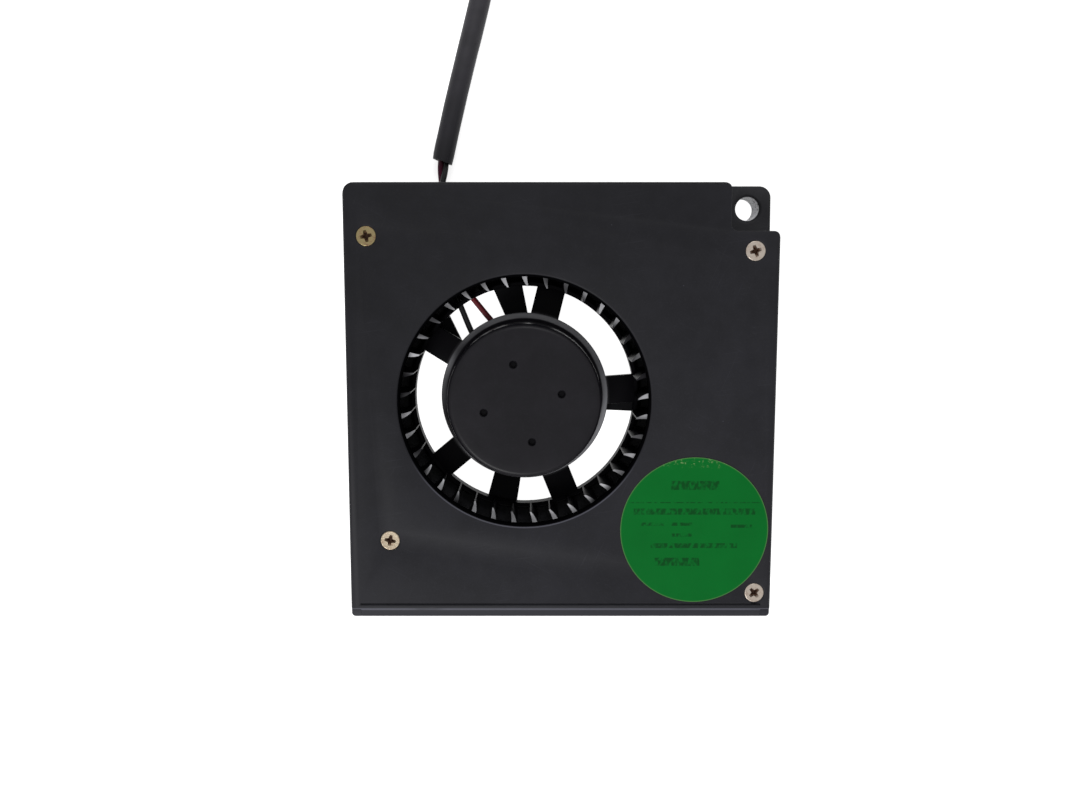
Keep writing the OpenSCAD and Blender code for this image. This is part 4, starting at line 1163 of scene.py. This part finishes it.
    def build(self) -> Piece:
        """Makes the impeller as one piece on the rotor."""
        hub = bool_cut(add_piece("hub", self.hub_mesh()), self.dimple_cutter())
        body = join_meshes("impeller_wheel", [
            hub.data, self.spoke_mesh(),
            self.ring_mesh(self.blade_in, self.blade_in + self.ring_t, self.foot_z,
                           self.foot_z + self.ring_h),
            self.ring_mesh(self.blade_out - self.band_t, self.blade_out, self.top_z - self.band_h,
                           self.top_z)])
        bpy.data.objects.remove(hub)
        row = body.modifiers.new("blades", "NODES")
        row.node_group = self.blade_tree()
        finish = ROTOR_PLASTIC.build()
        values = {"Blades": self.blades, "Inner Radius": self.blade_in * MM,
                  "Outer Radius": self.blade_out * MM,
                  "Back Rise": self.back_rise * MM, "Hollow Rise": self.hollow_rise * MM,
                  "Foot": self.foot_z * MM,
                  "Top": self.top_z * MM, "Finish": finish}
        set_inputs(row, values)
        bake_modifiers(body)
        sharpen(body.data, 38)
        return place(body, Body.ROTOR, "impeller_plastic", "impeller")


def set_inputs(modifier: bpy.types.Modifier, values: dict[str, Any]) -> None:
    """Sets a node modifier's inputs by their sockets' identifiers."""
    for item in modifier.node_group.interface.items_tree:
        if item.item_type == "SOCKET" and item.in_out == "INPUT" and item.name in values:
            modifier[item.identifier] = values[item.name]


# ---- housing -------------------------------------------------------------------------


@dataclass
class Housing:
    """Base and cover with softened edges."""

    edge: float = 0.1

    def build(self) -> None:
        """Makes both shells."""
        for node, name, slot, finish in (("base_housing", "base_shell", "housing_plastic", BASE_PLASTIC),
                                         ("top_cover", "cover_plate", "cover_plastic", COVER_PLASTIC)):
            place(dress(edged_copy(node, name, self.edge), finish), Body.HOUSING, slot, node)


@dataclass
class CoverScrews:
    """Four countersunk cross-recess screws, placed by a node tree."""

    head_r: float = 1.2
    head_h: float = 0.65
    shank_r: float = 0.65
    shank_len: float = 5.0
    cover_t: float = 1.2
    face_z: float = 10.0
    spots: tuple[tuple[float, float, float, float], ...] = (
        (-18.4, 19.5, 12.0, 1.0), (27.0, 17.8, 18.0, 0.0), (-16.2, -16.8, -12.0, 0.5),
        (27.9, -23.3, 42.0, 0.05))

    def screw_mesh(self) -> Piece:
        """One screw at the origin, its face at z = 0, with a tapered cross recess."""
        head = [(0.005, 0.0), (self.head_r - 0.16, -0.005)]
        head += arc(self.head_r - 0.13, -0.1, 0.1, 80, 0, 4)
        head += [(self.head_r - 0.06, -0.16), (self.shank_r, -self.head_h)]
        foot = -self.head_h - self.shank_len + self.cover_t
        pitch = 0.42
        z = -self.head_h - 0.2
        while z > foot + 0.5:
            head += [(self.shank_r - 0.09, z), (self.shank_r, z - pitch / 2)]
            z -= pitch
        head += [(self.shank_r - 0.1, foot + 0.15), (self.shank_r - 0.3, foot), (0.005, foot)]
        verts, faces = revolve(list(reversed(head)), 40, False)
        faces += [tuple(range(40)), tuple(len(verts) - 40 + k for k in reversed(range(40)))]
        mesh = mesh_from("screw", verts, faces)
        tidy_normals(mesh, 0.002)
        return bool_cut(add_piece("screw", mesh), self.recess_mesh())

    def recess_mesh(self) -> bpy.types.Mesh:
        """Cross-shaped cutter whose arms taper towards the tip."""
        arm, half, deep = 0.64 * self.head_r, 0.2 * self.head_r, 0.56
        ring = []
        for k in range(4):
            a = math.radians(90 * k)
            u, v = Vector((math.cos(a), math.sin(a), 0)), Vector((-math.sin(a), math.cos(a), 0))
            ring += [u * arm - v * half * 0.75, u * arm + v * half * 0.75, u * half * 1.15 + v * half * 1.15]
        top = [p + Vector((0, 0, 0.1)) for p in ring]
        low = [p * 0.34 + Vector((0, 0, -deep)) for p in ring]
        n = len(ring)
        faces = [tuple(reversed(range(n, 2 * n))), tuple(range(n))]
        faces += [(i, (i + 1) % n, n + (i + 1) % n, n + i) for i in range(n)]
        mesh = mesh_from("recess", top + low, faces)
        tidy_normals(mesh, 0.0)
        return mesh

    def placing_tree(self, screw: Piece) -> bpy.types.GeometryNodeTree:
        """Node tree that sets a screw on each point and turns it by the point's own angle."""
        tree = bpy.data.node_groups.new("screw_places", "GeometryNodeTree")
        side = tree.interface
        side.new_socket("Geometry", in_out="INPUT", socket_type="NodeSocketGeometry")
        side.new_socket("Size", in_out="INPUT", socket_type="NodeSocketFloat")
        side.new_socket("Finish", in_out="INPUT", socket_type="NodeSocketMaterial")
        side.new_socket("Geometry", in_out="OUTPUT", socket_type="NodeSocketGeometry")
        given = add_node(tree, "NodeGroupInput").outputs
        one = add_node(tree, "GeometryNodeObjectInfo", {0: screw}).outputs["Geometry"]
        angle = add_node(tree, "GeometryNodeInputNamedAttribute", {0: "turn"}, data_type="FLOAT").outputs[0]
        tilt = add_node(tree, "GeometryNodeInputNamedAttribute", {0: "tilt"}, data_type="FLOAT").outputs[0]
        turn = add_node(tree, "ShaderNodeCombineXYZ", {0: tilt, 2: angle}).outputs[0]
        spin = add_node(tree, "FunctionNodeEulerToRotation", {0: turn}).outputs[0]
        size = add_node(tree, "ShaderNodeCombineXYZ",
                        {0: given["Size"], 1: given["Size"], 2: given["Size"]}).outputs[0]
        set_out = add_node(tree, "GeometryNodeInstanceOnPoints",
                           {"Points": given["Geometry"], "Instance": one,
                                                                  "Rotation": spin, "Scale": size})
        real = add_node(tree, "GeometryNodeRealizeInstances", {0: set_out.outputs[0]})
        done = add_node(tree, "GeometryNodeSetMaterial", {0: real.outputs[0], "Material": given["Finish"]})
        add_node(tree, "NodeGroupOutput", {0: done.outputs[0]})
        return tree

    def build(self) -> Piece:
        """Makes the four screws as one piece."""
        screw = self.screw_mesh()
        seats = mesh_from("screw_seats", [(x, y, self.face_z - 0.02) for x, y, _, _ in self.spots], [])
        for name, values in (("turn", [math.radians(s[2]) for s in self.spots]),
                             ("tone", [s[3] for s in self.spots]),
                             ("tilt", [0.02, -0.015, 0.01, -0.02])):
            seats.attributes.new(name, "FLOAT", "POINT").data.foreach_set("value", values)
        piece = add_piece("cross_screws", seats)
        row = piece.modifiers.new("places", "NODES")
        row.node_group = self.placing_tree(screw)
        set_inputs(row, {"Size": 1.0, "Finish": PlatedScrew().build()})
        bake_modifiers(piece)
        bpy.data.objects.remove(screw)
        sharpen(piece.data, 30)
        return place(piece, Body.HOUSING, "screw_nickel", "cover_screws")


@dataclass
class RatingLabel:
    """Round label film, stuck on the cover, with plain rules instead of any print."""

    x: float = 20.45
    y: float = -15.5
    z: float = 10.0
    radius: float = 8.9
    thickness: float = 0.08

    def build(self) -> Piece:
        """Makes the film with its faint ripples and a lifted edge."""
        rings, sides = 26, 144
        verts: list[Triple] = []
        for i in range(rings + 1):
            for k in range(sides):
                share, a = i / rings, math.tau * k / sides
                r = max(0.02, share * self.radius)
                x, y = r * math.cos(a), r * math.sin(a)
                lift = 0.012 * noise.noise(Vector((x * 0.5, y * 0.5, 0)))
                edge = max(0.0, 1 - (self.radius - r) / 1.2)
                lift += 0.03 * edge * max(0.0, noise.noise(Vector((x * 0.9, y * 0.9, 4.0))))
                verts.append((self.x + x, self.y + y, self.z + self.thickness - 0.015 + max(-0.01, lift)))
        faces = [(i * sides + k, i * sides + (k + 1) % sides, (i + 1) * sides + (k + 1) % sides,
                  (i + 1) * sides + k)
                 for i in range(rings) for k in range(sides)]
        faces.append(tuple(range(sides)))
        rim = [(x, y, self.z + 0.002) for x, y, _ in verts[-sides:]]
        base = len(verts)
        faces += [(base - sides + k, base - sides + (k + 1) % sides, base + (k + 1) % sides, base + k)
                  for k in range(sides)]
        faces.append(tuple(base + k for k in reversed(range(sides))))
        mesh = mesh_from("label_film", verts + rim, faces)
        tidy_normals(mesh, 0.0)
        sharpen(mesh, 40)
        rules = ((0.0, 5.5, 2.9, 0.55), (0.0, 3.4, 7.9, 0.06), (0.0, 2.3, 7.3, 0.38),
                 (-5.0, 0.75, 1.4, 0.2), (-1.5, 0.75, 1.3, 0.2),
                 (5.7, 0.5, 1.3, 0.2), (-1.5, -0.6, 1.2, 0.2), (0.0, -1.9, 5.2, 0.3), (-2.0, -3.9, 2.7, 0.5))
        film = PrintedFilm("label_film", linear(6, 102, 37), (self.x, self.y, self.z), self.radius, rules)
        return place(dress(add_piece("label_film", mesh), film), Body.HOUSING, "label_film", "label")


# ---- pieces kept from the construction -----------------------------------------------


INNER_FINISHES: dict[str, Any] = {
    "rotor_cup": WorkedMetal("drawn_steel_cup", linear(150, 152, 156), 0.34, Grain.ROUND),
    "ring_magnet": MouldedPlastic("ferrite_magnet", linear(58, 54, 52), roughness=0.7, grain_mm=0.12),
    "shaft": WorkedMetal("ground_steel_shaft", linear(205, 206, 208), 0.16, Grain.ROUND, stained=0.05),
    "rotor_bushing": WorkedMetal("turned_brass_bush", linear(196, 156, 88), 0.24, Grain.ROUND, stained=0.1),
    "oil_washer": MouldedPlastic("white_washer", linear(228, 226, 218), roughness=0.45, specular=0.4,
                                 clouds=0.04),
    "shaft_clip": MouldedPlastic("clip_nylon", linear(232, 230, 222), roughness=0.4, specular=0.45,
                                 clouds=0.04),
    "wear_pad": MouldedPlastic("pad_polymer", linear(222, 210, 176), roughness=0.4, specular=0.4,
                               clouds=0.05),
    "bearing_tube": WorkedMetal("turned_brass_tube", linear(202, 164, 96), 0.26, Grain.ROUND, stained=0.12),
    "sleeve_bearing": WorkedMetal("sintered_bronze", linear(168, 118, 66), 0.5, stained=0.45),
    "stator_core": WorkedMetal("stator_sheets", linear(132, 136, 140), 0.4, Grain.ALONG_X, layers_mm=0.35),
    "upper_insulator": MouldedPlastic("insulator_upper_nylon", linear(228, 224, 210), roughness=0.42,
                                      specular=0.4,
                                      clouds=0.05),
    "lower_insulator": MouldedPlastic("insulator_lower_nylon", linear(226, 222, 208), roughness=0.42,
                                      specular=0.4,
                                      clouds=0.05),
    "stator_windings": CoiledWire(),
    "circuit_board": BoardLacquer(),
    "hall_sensor": MouldedPlastic("sensor_epoxy", linear(34, 34, 36), roughness=0.55),
    "driver_chip": MouldedPlastic("chip_epoxy", linear(30, 30, 33), roughness=0.55),
    "chip_capacitor": MouldedPlastic("capacitor_ceramic", linear(182, 150, 112), roughness=0.5, clouds=0.08),
    "solder_joints": WorkedMetal("solder", linear(196, 198, 202), 0.28, stained=0.1),
    "crimp_terminals": WorkedMetal("tinned_terminals", linear(210, 206, 190), 0.28, Grain.ALONG_X,
                                   stained=0.08),
}


def dress_inner_pieces() -> None:
    """Gives each kept construction piece its own finish."""
    for node, finish in INNER_FINISHES.items():
        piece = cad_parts[node]
        material = finish.build()
        if not piece.data.materials:
            piece.data.materials.append(material)
        for i in range(len(piece.data.materials)):
            piece.data.materials[i] = material
        log.info("%s: %s", node, material.name)


# ---- studio --------------------------------------------------------------------------


@dataclass
class ViewPoint:
    """The camera over the front face."""

    location: Triple = (0.0011, 0.01475, 0.1277)
    tilt: float = -7.0
    lens: float = 33.74
    sensor: float = 36.0

    def build(self) -> None:
        """Makes the camera."""
        data = bpy.data.cameras.new("front_camera")
        data.lens, data.sensor_width, data.clip_start = self.lens, self.sensor, 0.005
        camera = bpy.data.objects.new("front_camera", data)
        camera.location = self.location
        camera.rotation_euler = (math.radians(self.tilt), 0, 0)
        bpy.context.scene.collection.objects.link(camera)
        bpy.context.scene.camera = camera


@dataclass
class Studio:
    """Pale floor, white surroundings and soft lamps."""

    floor_size: float = 3.0
    floor_glow: float = 0.78
    ambient: float = 0.35
    glow_patch_half: tuple[float, float] = (0.0252, 0.0255)
    glow_patch_centre: Triple = (4.4, -0.35, 0)

    def build_floor(self) -> None:
        """Makes the floor, which shows white with the fan's shadow on it; under the fan's footprint it glows
        full white, a painted pool of light that hides the shade seen through the fan's openings.
        """
        half = self.floor_size / 2 * 1000
        mesh = mesh_from("floor", [(-half, -half, -0.05), (half, -half, -0.05), (half, half, -0.05),
                                   (-half, half, -0.05)],
                         [(0, 1, 2, 3)])
        floor = add_piece("floor", mesh)
        sheet = Sheet("pale_floor")
        soft = sheet.noise(30.0, 2)
        paper = sheet.blend(soft, (0.80, 0.80, 0.805, 1), (0.83, 0.83, 0.83, 1))
        material = sheet.finish(paper, 0.9, sheet.bump(sheet.noise(0.8, 2), 0.01), Specular_IOR_Level=0.1)
        tree = sheet.tree
        rays = sheet.add("ShaderNodeLightPath").outputs
        seen = sheet.math("MAXIMUM", rays["Is Camera Ray"],
                          sheet.math("MAXIMUM", rays["Is Glossy Ray"], rays["Is Transmission Ray"]))
        # Painted light: under the fan's footprint the floor's glow is raised to full white.
        spot = sheet.add("ShaderNodeSeparateXYZ", {0: sheet.turned(0, (1, 1, 1), self.glow_patch_centre)}).outputs
        beyond = [sheet.math("SUBTRACT", sheet.math("ABSOLUTE", spot[i]), self.glow_patch_half[i])
                  for i in range(2)]
        under = sheet.ramp(sheet.math("MAXIMUM", *beyond), 0.0004, -0.0004)
        level = sheet.math("ADD", self.floor_glow, sheet.math("MULTIPLY", under, 1 - self.floor_glow))
        glow = sheet.add("ShaderNodeEmission",
                         {"Color": (1, 1, 1, 1), "Strength": sheet.math("MULTIPLY", level, seen)})
        both = sheet.add("ShaderNodeAddShader", {0: sheet.shader.outputs[0], 1: glow.outputs[0]})
        tree.links.new(both.outputs[0], sheet.output.inputs["Surface"])
        mesh.materials.append(material)

    def build_world(self) -> None:
        """Makes the white surroundings, dimmer as a light than they look."""
        world = bpy.data.worlds.new("white_room")
        world.use_nodes = True
        tree = world.node_tree
        tree.nodes.clear()
        rays = add_node(tree, "ShaderNodeLightPath").outputs
        seen = math_node(tree, "MAXIMUM", rays["Is Camera Ray"],
                         math_node(tree, "MAXIMUM", rays["Is Glossy Ray"], rays["Is Transmission Ray"]))
        level = add_node(tree, "ShaderNodeMix", {0: seen, 2: self.ambient, 3: 1.0}).outputs[0]
        shade = add_node(tree, "ShaderNodeBackground", {"Color": (1, 1, 1, 1), "Strength": level})
        add_node(tree, "ShaderNodeOutputWorld", {0: shade.outputs[0]})
        bpy.context.scene.world = world

    def lamp(self, name: str, spot: Triple, size: float, power: float) -> None:
        """Makes a square soft lamp that points at the fan.

        Args:
            name: The lamp's name.
            spot: Its place, in metres.
            size: Its side, in metres.
            power: Its power in watts.
        """
        data = bpy.data.lights.new(name, "AREA")
        data.shape, data.size, data.energy = "SQUARE", size, power
        lamp = bpy.data.objects.new(name, data)
        lamp.location = spot
        lamp.rotation_euler = (Vector(spot) - Vector((0.004, 0, 0.005))).to_track_quat("Z", "Y").to_euler()
        bpy.context.scene.collection.objects.link(lamp)

    def build(self) -> None:
        """Makes the whole studio."""
        self.build_floor()
        self.build_world()
        self.lamp("cable_side_softbox", (0.06, 0.46, 0.50), 0.26, 1.1)
        self.lamp("outlet_side_softbox", (-0.20, -0.46, 0.56), 0.3, 3.3)
        bpy.context.scene.view_settings.view_transform = "Standard"


def main() -> None:
    """Builds the fan's looks in order: camera, cable, then the shells, rotor and small pieces."""
    logging.basicConfig(level=logging.INFO, format="%(name)s: %(message)s")
    random.seed(7)
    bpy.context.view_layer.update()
    ViewPoint().build()
    CableSet().build()
    Housing().build()
    CoverScrews().build()
    RatingLabel().build()
    Impeller().build()
    dress_inner_pieces()
    Studio().build()


if __name__ == "__main__":
    main()
